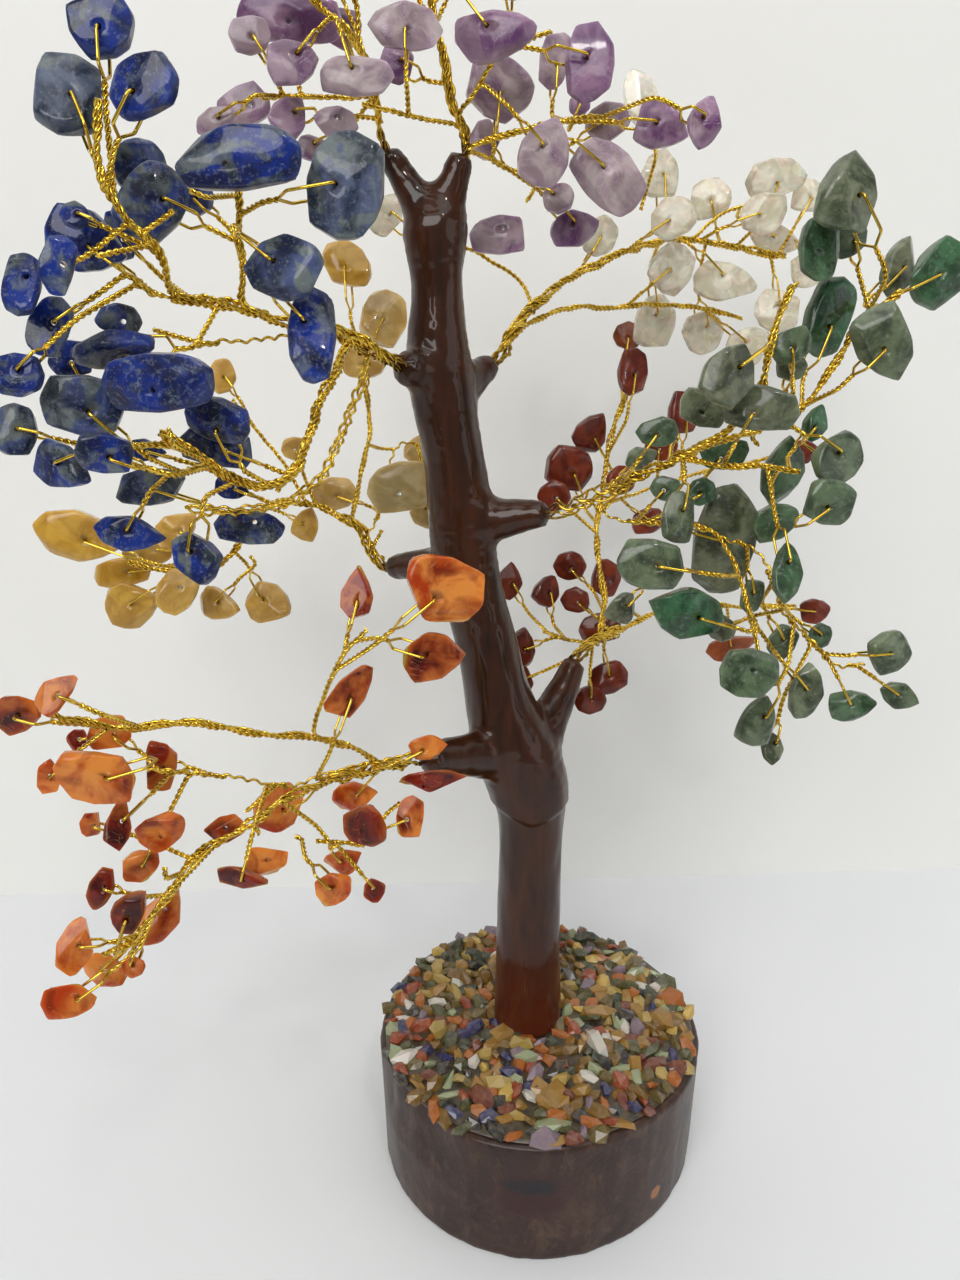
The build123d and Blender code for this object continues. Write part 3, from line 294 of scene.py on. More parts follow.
def colour_steps(tree, value, stops, sharp=False):
    """The colour at a value, from a row of positions and their colours."""
    node = add(tree, "ShaderNodeValToRGB", i0=value)
    ramp = node.color_ramp
    ramp.interpolation = "CONSTANT" if sharp else "LINEAR"
    ramp.elements.remove(ramp.elements[-1])
    for number, (position, colour) in enumerate(stops):
        stop = ramp.elements.new(position) if number else ramp.elements[0]
        stop.position = position
        stop.color = (*colour, 1)
    return node


def rough_skin(tree, shader, height, strength, distance):
    """Small unevenness of a face, so many millimetres deep."""
    bump = add(tree, "ShaderNodeBump", Strength=strength, Distance=distance * mm, Height=height)
    link(tree, bump, shader.inputs["Normal"])


def on_slice(x, y):
    """The place on the slice's wall seen at pixel x, y."""
    place = (0, -slice_radius, 0)
    for step in range(seen_steps):
        place = picture_point(x, y, -place[1] / crown_depth)
        place = (place[0], -sqrt(slice_radius ** 2 - place[0] ** 2), place[2])
    return place


def wavy(place, scale, seed):
    """Smooth noise between -1 and 1 at a millimetre place."""
    return noise.noise(Vector(place) * scale + Vector((seed, seed * 0.7, -seed)))


def slice_wall(angle, share, height):
    """A point of the wood's wall, with its streaks and the bevel of the lost flake."""
    radius = slice_radius * share * (slice_foot_share + (1 - slice_foot_share) * height / base_top)
    x, y = cos(angle), sin(angle)
    for depth, turns, rise, seed in wall_streaks:
        radius += depth * wavy((turns * x, turns * y, height * rise), 1.0, seed)
    swing = (angle - flake_bearing + pi) % tau - pi
    beside = max(0, 1 - abs(swing) / flake_width)
    rise = max(0, height / base_top - flake_height_share) / (1 - flake_height_share)
    ragged = 1 + flake_ragged_share * wavy((swing * flake_ragged_turns, height, 0), 0.2, 5)
    radius -= flake_depth * min(1, beside * flake_steepness) * rise * ragged
    return (radius * x, radius * y, height)


foot_place = picture_point(*foot_pixels, 0)
foot_place = (foot_place[0], foot_place[1], base_top)
wall_shares = round_shares(slice_outline_shares, slice_around)
slice_angles = [tau * i / slice_around for i in range(slice_around)]
rings = []
for row in range(slice_rows + 1):
    height = (base_top - slice_edge_round) * row / slice_rows
    inset = 0 if row else slice_foot_inset
    rings.append([slice_wall(angle, share * (1 - inset / slice_radius), height)
                  for angle, share in zip(slice_angles, wall_shares)])
wall_top = rings[-1]
for turn in slice_edge_turns:
    inset = slice_edge_round * (1 - cos(radians(turn)))
    height = base_top - slice_edge_round + slice_edge_round * sin(radians(turn))
    shrinks = [1 - inset / sqrt(x * x + y * y) for x, y, z in wall_top]
    rings.append([(x * shrink, y * shrink, height) for (x, y, z), shrink in zip(wall_top, shrinks)])
rim = rings[-1]
hole = [(foot_place[0] + peg_hole_radius * cos(angle), foot_place[1] + peg_hole_radius * sin(angle))
        for angle in slice_angles]
for share in slice_top_shares:
    rings.append([(a + (x - a) * share, b + (y - b) * share, base_top) for (a, b), (x, y, z) in zip(hole, rim)])
rings.append([(x, y, base_top - peg_depth) for x, y, z in rings[-1]])
faces = band_faces(len(rings), slice_around)
faces.append(list(range(slice_around)))
faces.append([(len(rings) - 1) * slice_around + i for i in range(slice_around)])
slice_mesh = make_mesh("wood_slice", [point for ring in rings for point in ring], faces)


def reckon_places(tree, operation, *terms, **scale):
    """One step of arithmetic on places or directions."""
    inputs = {f"i{number}": term for number, term in enumerate(terms)}
    return add(tree, "ShaderNodeVectorMath", {"operation": operation}, **inputs, **scale)


def oval(tree, place, centre, widths, edge):
    """A mask that is 1 in an oval patch round a place in millimetres."""
    away = reckon_places(tree, "SUBTRACT", place, Vector(centre) * mm)
    away = reckon_places(tree, "DIVIDE", away, Vector(widths) * mm)
    away = reckon_places(tree, "LENGTH", away)
    rough = add(tree, "ShaderNodeTexNoise", Vector=place, Scale=420, Detail=3)
    sway = reckon(tree, "MULTIPLY_ADD", rough, oval_sway, away.outputs["Value"])
    return spread_over(tree, sway, oval_limit + edge, oval_limit - edge)


wood, tree, shader = new_material(
    "varnished_wood", Roughness=0.45, Coat_Weight=0.3, Coat_Roughness=0.14, Specular_IOR_Level=0.15)
place = add(tree, "ShaderNodeTexCoord").outputs["Object"]
drawn = add(tree, "ShaderNodeMapping", Vector=place, Scale=(1, 1, 0.7))
fibre = add(tree, "ShaderNodeTexNoise", Vector=drawn, Scale=420, Detail=6, Roughness=0.65, Distortion=0.5)
cloud = add(tree, "ShaderNodeTexNoise", Vector=drawn, Scale=120, Detail=7, Roughness=0.74, Distortion=1.0)
colour = colour_steps(tree, cloud, stain_colours)
colour = mixed(tree, spread_over(tree, fibre, 0.54, 0.75, 0, 0.35), colour, (0.17, 0.10, 0.06))
# The heart round the knot, the knot, the speck and its core: middle, half widths, soft edge, colour
knot_place = on_slice(*knot_pixels)
speck_place = on_slice(*speck_pixels)
stains = (
    (plus(knot_place, heart_shift), (6.6, 6, 4.6), 0.3, (0.038, 0.012, 0.012)),
    (knot_place, (4.6, 6, 1.5), 0.25, (0.016, 0.013, 0.016)),
    (speck_place, (1.5, 1.5, 1.5), 0.2, (0.32, 0.13, 0.05)),
    (speck_place, (0.7, 0.7, 0.7), 0.2, (0.08, 0.03, 0.02)),
)
for middle, widths, edge, stain in stains:
    colour = mixed(tree, oval(tree, place, middle, widths, edge), colour, stain)
link(tree, colour, shader.inputs["Base Color"])
rough_skin(tree, shader, fibre, 0.5, 0.3)
finish_piece(slice_mesh, "wood_slice", wood, ["base_disc"])


# The glue bed and the gravel
# Clear glue is spread over the slice to its rim, and crushed chips of all the tree's stones are
# strewn and pressed into it, so that the bits lie close, a few of them tilted or larger.
bed_radius = 30.9
bed_rise = 1.3
bed_fall_share = 0.7
bed_lump = 0.3
bed_lump_fineness = 0.22
bed_skirt = 0.15
bed_rows = 26
bed_around = 120
foot_radius = 6.7
glue_colours = ((0.35, (0.035, 0.028, 0.018)), (0.7, (0.10, 0.07, 0.035)))
bit_spacing = 2.0
bit_length = 2.6
bit_density = 9e5
least_turn, most_turn = (-0.7, -0.7, 0), (0.7, 0.7, tau)
least_widths, most_widths = (0.55, 0.34, 0.26), (1.25, 0.72, 0.55)
large_from, large_growth = 0.86, 1.75
bit_crush = 1.3
gravel_seed = 4
gravel_colours = (
    (0.00, (0.28, 0.15, 0.03)), (0.13, (0.15, 0.078, 0.012)), (0.24, (0.37, 0.26, 0.07)),
    (0.34, (0.33, 0.095, 0.014)), (0.42, (0.11, 0.08, 0.025)), (0.50, (0.055, 0.06, 0.022)),
    (0.58, (0.03, 0.04, 0.024)), (0.655, (0.27, 0.31, 0.18)), (0.71, (0.24, 0.04, 0.012)),
    (0.76, (0.02, 0.02, 0.022)), (0.81, (0.02, 0.025, 0.10)), (0.85, (0.56, 0.53, 0.47)),
    (0.885, (0.19, 0.14, 0.18)), (0.92, (0.50, 0.34, 0.08)), (0.96, (0.14, 0.035, 0.025)),
)


def bed_top(x, y):
    """The height of the glue's lumpy face."""
    away = sqrt(x * x + y * y) / bed_radius
    arch = bed_rise * (1 - away ** 6 * bed_fall_share)
    return base_top + arch + bed_lump * wavy((x, y, 0), bed_lump_fineness, 6)


rings = []
for row in range(bed_rows + 1):
    part = row / bed_rows
    ring = []
    for i, share in enumerate(round_shares(slice_outline_shares, bed_around)):
        angle = tau * i / bed_around
        rim = bed_radius * share
        inner = (foot_place[0] + foot_radius * cos(angle), foot_place[1] + foot_radius * sin(angle))
        x = inner[0] + (rim * cos(angle) - inner[0]) * part
        y = inner[1] + (rim * sin(angle) - inner[1]) * part
        ring.append((x, y, bed_top(x, y)))
    rings.append(ring)
rings += [[(x, y, base_top + bed_skirt) for x, y, z in ring] for ring in (rings[-1], rings[0])]
points = [point for ring in rings for point in ring]
faces = band_faces(len(rings), bed_around, closed=True)
bed_mesh = make_mesh("glue_bed", points, faces)
strewn_mesh = make_mesh("strewn", points, faces[:bed_rows * bed_around])

glue, tree, shader = new_material("glue", Roughness=0.4, Coat_Weight=0.15)
place = add(tree, "ShaderNodeTexCoord").outputs["Object"]
shade = add(tree, "ShaderNodeTexNoise", Vector=place, Scale=700, Detail=4)
link(tree, colour_steps(tree, shade, glue_colours), shader.inputs["Base Color"])
finish_piece(bed_mesh, "glue_bed", glue, ["gravel_bed"])


def geometry_tree(name, *inputs):
    """A tree that makes one mesh of another, and what it is given: the mesh and some named inputs."""
    tree = bpy.data.node_groups.new(name, "GeometryNodeTree")
    for label, kind in (("Geometry", "Geometry"), *inputs):
        tree.interface.new_socket(label, in_out="INPUT", socket_type=f"NodeSocket{kind}")
    tree.interface.new_socket("Geometry", in_out="OUTPUT", socket_type="NodeSocketGeometry")
    return tree, add(tree, "NodeGroupInput").outputs


def made_mesh(holder):
    """The plain mesh that an object's modifiers make; the object itself goes."""
    bpy.context.view_layer.update()
    made = bpy.data.meshes.new_from_object(holder.evaluated_get(bpy.context.evaluated_depsgraph_get()))
    bpy.data.objects.remove(holder)
    return made


def grown_mesh(name, mesh, tree, **inputs):
    """The plain mesh that a node tree makes of a mesh."""
    holder = new_object(name, mesh)
    modifier = holder.modifiers.new(name, "NODES")
    modifier.node_group = tree
    for item in tree.interface.items_tree:
        label = item.name.replace(" ", "_")
        if item.in_out == "INPUT" and label in inputs:
            modifier[item.identifier] = inputs[label]
    return made_mesh(holder)


def random_value(kind, seed, **limits):
    """A number or a vector that each bit draws for itself."""
    return add(gravel_tree, "FunctionNodeRandomValue", {"data_type": kind}, Seed=gravel_seed + seed, **limits)


# The crushed bits: each a small faceted splinter, with its own size, turn and tint
gravel_tree, given = geometry_tree("strewn_gravel", ("Spacing", "Float"), ("Length", "Float"), ("Stone", "Material"))
spots = add(gravel_tree, "GeometryNodeDistributePointsOnFaces", {"distribute_method": "POISSON"},
            Mesh=given["Geometry"], Distance_Min=given["Spacing"], Density_Max=bit_density, Density_Factor=1.0,
            Seed=gravel_seed)
splinter = add(gravel_tree, "GeometryNodeMeshIcoSphere", Radius=1.0, Subdivisions=1)
turned = random_value("FLOAT_VECTOR", 1, i0=least_turn, i1=most_turn)
scale = random_value("FLOAT_VECTOR", 2, i0=least_widths, i1=most_widths)
large = random_value("FLOAT", 3, i2=0.0, i3=1.0)
tinted = random_value("FLOAT", 4, i2=0.0, i3=1.0)
growth = spread_over(gravel_tree, large, large_from, 1.0, 1.0, large_growth)
for times in (growth, given["Length"]):
    scale = reckon_places(gravel_tree, "SCALE", scale, Scale=times)
bits = add(gravel_tree, "GeometryNodeInstanceOnPoints", Points=spots, Instance=splinter, Rotation=turned, Scale=scale)
bits = add(gravel_tree, "GeometryNodeStoreNamedAttribute", {"data_type": "FLOAT", "domain": "INSTANCE"},
           Geometry=bits, Name="tint", Value=tinted)
bits = add(gravel_tree, "GeometryNodeRealizeInstances", Geometry=bits)
where = add(gravel_tree, "GeometryNodeInputPosition")
crushed = add(gravel_tree, "ShaderNodeTexNoise", Vector=where, Scale=900, Detail=1)
offset = reckon_places(gravel_tree, "SUBTRACT", crushed.outputs["Color"], (0.5, 0.5, 0.5))
offset = reckon_places(gravel_tree, "SCALE", offset, Scale=bit_crush * mm)
bits = add(gravel_tree, "GeometryNodeSetPosition", Geometry=bits, Offset=offset)
bits = add(gravel_tree, "GeometryNodeSetMaterial", Geometry=bits, Material=given["Stone"])
add(gravel_tree, "NodeGroupOutput", Geometry=bits)

gravel_stone, tree, shader = new_material(
    "gravel_stone", Roughness=0.2, Coat_Weight=0.2, Subsurface_Weight=0.25, Subsurface_Scale=0.0012)
tint = add(tree, "ShaderNodeAttribute", {"attribute_name": "tint"}).outputs["Fac"]
place = add(tree, "ShaderNodeTexCoord").outputs["Object"]
cloudy = add(tree, "ShaderNodeTexNoise", Vector=place, Scale=1100, Detail=3)
colour = colour_steps(tree, tint, gravel_colours, sharp=True)
colour = mixed(tree, spread_over(tree, cloudy, 0.4, 0.75, 0, 0.22), colour, (0.42, 0.29, 0.11))
link(tree, colour, shader.inputs["Base Color"])
gravel_mesh = grown_mesh("gravel", strewn_mesh, gravel_tree, Spacing=bit_spacing * mm, Length=bit_length * mm,
                         Stone=gravel_stone)
gravel_mesh.shade_flat()
finish_piece(gravel_mesh, "stone_gravel", gravel_stone, ["gravel_chips"])


# The gathered wires
# All the wires of the tree run down through the trunk, twisted together into one stout core that is
# glued into the wood. It is brass craft wire with a gold finish, as are the stems and twigs above.
bright_gold = (0.80, 0.55, 0.075)
dull_gold = (0.39, 0.235, 0.02)
lacquered_gold = (0.10, 0.045, 0.02)

gold, tree, shader = new_material("gold_wire", Metallic=1.0, Roughness=0.24)
place = add(tree, "ShaderNodeTexCoord").outputs["Object"]
# Patches of bright and dull gold. They are partly tarnish and partly painted sparkle: bright and dark spots that stand
# for the glints and shade along the twisted strands. The same noise sets the roughness.
tarnish_and_sparkle = add(tree, "ShaderNodeTexNoise", Vector=place, Scale=420, Detail=4)
dipped = add(tree, "ShaderNodeAttribute", {"attribute_name": "lacquer"}).outputs["Fac"]
metal = mixed(tree, spread_over(tree, tarnish_and_sparkle, 0.35, 0.7), bright_gold, dull_gold)
link(tree, mixed(tree, dipped, metal, lacquered_gold), shader.inputs["Base Color"])
link(tree, spread_over(tree, tarnish_and_sparkle, 0.3, 0.7, 0.07, 0.2), shader.inputs["Roughness"])
# The wires themselves are drawn below, with the stems that they turn into


# The trunk
# Putty is pressed round the gathered wires by hand, drawn out along each bundle into a stub, and
# brushed with thick red-brown lacquer, which has run into long soft streaks.
trunk_width = 12.0
stub_width = 7.6
voxel = 0.55
merge_reach = 0.002
plug_share = 0.92
plug_sink_share = 0.45
joint_reach = 13.0
joint_passes = 64
plain_passes = 8
tip_reach = 7.0
tip_passes = 2
tip_core_share = 0.55
tip_taper = 0.75
back_slope = -0.3
skin_lift = 0.12
joint_lift = 0.35
# Each swell of the putty: its height, its stretch along x, y and z, its fineness and its seed
plain_swells = ((0.3, (1, 1, 0.4), 0.16, 2), (0.13, (1, 1, 0.35), 0.55, 4))
joint_swell = (0.22, (0.5, 0.5, 1.6), 0.75, 7)
tip_swell = (0.12, (1.6, 1, 1), 0.6, 9)
lip_pixels = (530, 806)
lip_rise = 0.5
lip_fade = 9.0
lip_droop = 0.35
lip_lead = 0.8
lip_front = 0.7
foot_tint_heights = (1, 24)
foot_tint_most = 0.75
foot_colour = (0.115, 0.022, 0.008)
lacquer_colours = ((0.32, (0.019, 0.0055, 0.0012)), (0.72, (0.056, 0.0145, 0.0032)))
# Down the trunk and at each stub's root and tip: the pixel, how near it is, and its share of the width
trunk_foot_share = 1.1
trunk_shares = (
    (528, 960, 0.0, 1.02), (529, 900, 0.0, 0.98), (530, 840, 0.0, 0.98), (530, 795, 0.0, 1.06),
    (522, 762, 0.0, 1.32), (510, 730, 0.0, 1.2), (497, 690, 0.0, 0.98), (486, 640, 0.0, 0.88),
    (473, 590, 0.0, 0.86), (462, 545, 0.0, 0.9), (459, 500, 0.0, 0.88), (455, 460, 0.0, 0.84),
    (448, 420, 0.0, 0.84), (441, 380, 0.0, 0.88), (438, 340, 0.0, 0.78), (436, 295, 0.0, 0.64),
    (436, 250, 0.0, 0.66), (437, 214, 0.0, 0.74),
)
stub_shares = {
    "carnelian": ((508, 752, 0.0), (428, 758, 0.14), 1.3, 0.74),
    "jasper": ((532, 758, 0.0), (575, 662, -0.07), 1.2, 0.62),
    "aventurine": ((466, 524, 0.0), (545, 513, 0.04), 1.15, 0.62),
    "citrine": ((466, 562, 0.0), (392, 567, -0.1), 1.05, 0.58),
    "lapis": ((440, 378, 0.0), (404, 366, 0.06), 1.1, 0.72),
    "quartz": ((446, 400, 0.0), (491, 364, -0.07), 1.1, 0.6),
    "amethyst_left": ((436, 232, 0.0), (388, 153, 0.0), 0.86, 0.52),
    "amethyst_right": ((438, 226, 0.0), (462, 156, 0.0), 0.96, 0.52),
}
trunk_line = [(foot_place, trunk_foot_share)]
trunk_line += [(picture_point(*pixels), share) for *pixels, share in trunk_shares]
stub_line = {branch: (picture_point(*root), picture_point(*tip), root_share, tip_share)
             for branch, (root, tip, root_share, tip_share) in stub_shares.items()}
lip_place = picture_point(*lip_pixels, 0)


def minus(a, b):
    return (a[0] - b[0], a[1] - b[1], a[2] - b[2])


def dot(a, b):
    return a[0] * b[0] + a[1] * b[1] + a[2] * b[2]


def size(a):
    return sqrt(dot(a, a))


def unit(a):
    length = size(a)
    return (a[0] / length, a[1] / length, a[2] / length)


def plugged_skin():
    """The skin's mesh as one closed shell, with the putty closed round the wires at every stub's end."""
    shell = bmesh.new()
    shell.from_mesh(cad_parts["trunk_skin"].data)
    bmesh.ops.remove_doubles(shell, verts=shell.verts, dist=merge_reach * mm)
    for root, tip, root_share, tip_share in stub_line.values():
        radius = tip_share * stub_width / 2 * plug_share
        sunk = plus(tip, unit(minus(root, tip)), radius * plug_sink_share)
        bmesh.ops.create_icosphere(shell, subdivisions=3, radius=radius * mm,
                                   matrix=Matrix.Translation(Vector(sunk) * mm))
    mesh = bpy.data.meshes.new("trunk_skin_copy")
    shell.to_mesh(mesh)
    shell.free()
    return mesh


def nearness(place, end, reach):
    """How near a place is to a stub's root (end 0) or tip (end 1): 1 on it, and 0 beyond reach."""
    return max(0, max(1 - size(minus(place, line[end])) / reach for line in stub_line.values()))


def faces_out(place, normal):
    """Whether the skin at a place near a stub's end looks away from the stub's middle line."""
    root, tip = min((line[:2] for line in stub_line.values()), key=lambda line: size(minus(place, line[1])))
    along = unit(minus(tip, root))
    away = minus(place, tip)
    away = plus(away, along, -dot(away, along))
    return dot(away, normal) > back_slope * size(away)


def swell(place, height, stretch, fineness, seed):
    """How far one of the putty's swells lifts it at a place."""
    return height * wavy([a * b for a, b in zip(place, stretch)], fineness, seed)


def skin_rise(place, normal, worked):
    """How far the putty stands out at a place, from its swells, its drawn-out tips and its lip."""
    lift = sum((swell(place, *wave) for wave in plain_swells), skin_lift)
    lift += worked * (joint_lift + swell(place, *joint_swell))
    drawn_out = nearness(place, 1, tip_reach)
    lift += drawn_out * swell(place, *tip_swell) - tip_taper * drawn_out ** 2
    if drawn_out and not faces_out(place, normal):
        lift = 0
    above = place[2] - lip_place[2] - lip_droop * abs(place[0] - lip_place[0]) + lip_lead
    if 0 < above < lip_fade:
        lift += lip_rise * min(1, above / lip_front) * (1 - above / lip_fade)
    return lift


holder = new_object("putty", plugged_skin())
remesh = holder.modifiers.new("even", "REMESH")
remesh.mode = "VOXEL"
remesh.voxel_size = voxel * mm
trunk_mesh = made_mesh(holder)

putty = bmesh.new()
putty.from_mesh(trunk_mesh)
worked = {vertex: nearness(tuple(vertex.co / mm), 0, joint_reach) for vertex in putty.verts}
passes = {}
for vertex, share in worked.items():
    drawn_out = nearness(tuple(vertex.co / mm), 1, tip_reach) > tip_core_share
    passes[vertex] = tip_passes if drawn_out else max(plain_passes, share * joint_passes)
for pass_number in range(joint_passes):
    chosen = [vertex for vertex, count in passes.items() if count > pass_number]
    bmesh.ops.smooth_vert(putty, verts=chosen, factor=0.5, use_axis_x=True, use_axis_y=True, use_axis_z=True)
putty.normal_update()
for vertex, share in worked.items():
    vertex.co += vertex.normal * skin_rise(tuple(vertex.co / mm), tuple(vertex.normal), share) * mm
putty.to_mesh(trunk_mesh)
putty.free()
trunk_mesh.shade_smooth()

lacquer, tree, shader = new_material(
    "lacquer", Roughness=0.36, Coat_Weight=0.48, Coat_Roughness=0.07, Specular_IOR_Level=0.12)
place = add(tree, "ShaderNodeTexCoord").outputs["Object"]
drawn = add(tree, "ShaderNodeMapping", Vector=place, Scale=(1, 1, 0.2))
streak = add(tree, "ShaderNodeTexNoise", Vector=drawn, Scale=330, Detail=4, Roughness=0.6, Distortion=0.8)
ripple = add(tree, "ShaderNodeTexNoise", Vector=drawn, Scale=900, Detail=3)
height = add(tree, "ShaderNodeSeparateXYZ", Vector=place).outputs["Z"]
foot_low, foot_high = [(base_top + rise) * mm for rise in foot_tint_heights]
foot_tint = spread_over(tree, height, foot_low, foot_high, foot_tint_most, 0)
colour = mixed(tree, foot_tint, colour_steps(tree, streak, lacquer_colours), foot_colour)
link(tree, colour, shader.inputs["Base Color"])
rough_skin(tree, shader, ripple, 0.25, 0.2)
finish_piece(trunk_mesh, "putty_trunk", lacquer, ["trunk_skin"])


# The bundles and stems
# Out of each stub comes a bundle of doubled wires, twisted together, which divides again and again
# into thinner stems. The putty's lacquer has run onto the first few millimetres of the wires.
stem_width = 2.0
root_clearance = 0.2
wire_lead_share = 2.2
bend_spacing_share = 3.2
bend_room_share = 0.45
straight_degrees = 0.6
station_pitch = 2.0
inner_steps = 2
trace_pitch = 3.0
drawn_pitch = 0.7
least_run_share = 0.001
look_count = 54
most_lumps = 4000
strand_radius = 0.21
strand_sides = 6
ply_radius = 0.195
stem_ply_lay = 2.2
bundle_ply_lay = 4.0
strand_step = 0.28
hidden_step = 0.6
stem_lay = 15
stray_turn = 5.0
loose_seed = 40.0
least_wander, most_wander = 0.5, 1.4
core_foot_rise = 0.3
core_pairs, core_spread = 18, 1.55
arm_pairs, arm_spread = 5, 0.55
pairs_by_share, pairs_less = 3.2, 0.55
spread_by_share, spread_less, least_spread = 0.82, 0.33, 0.22
end_spread_share = 0.45
stem_sway = 1.0
dipped_length = 4.5
dip_fade = 4
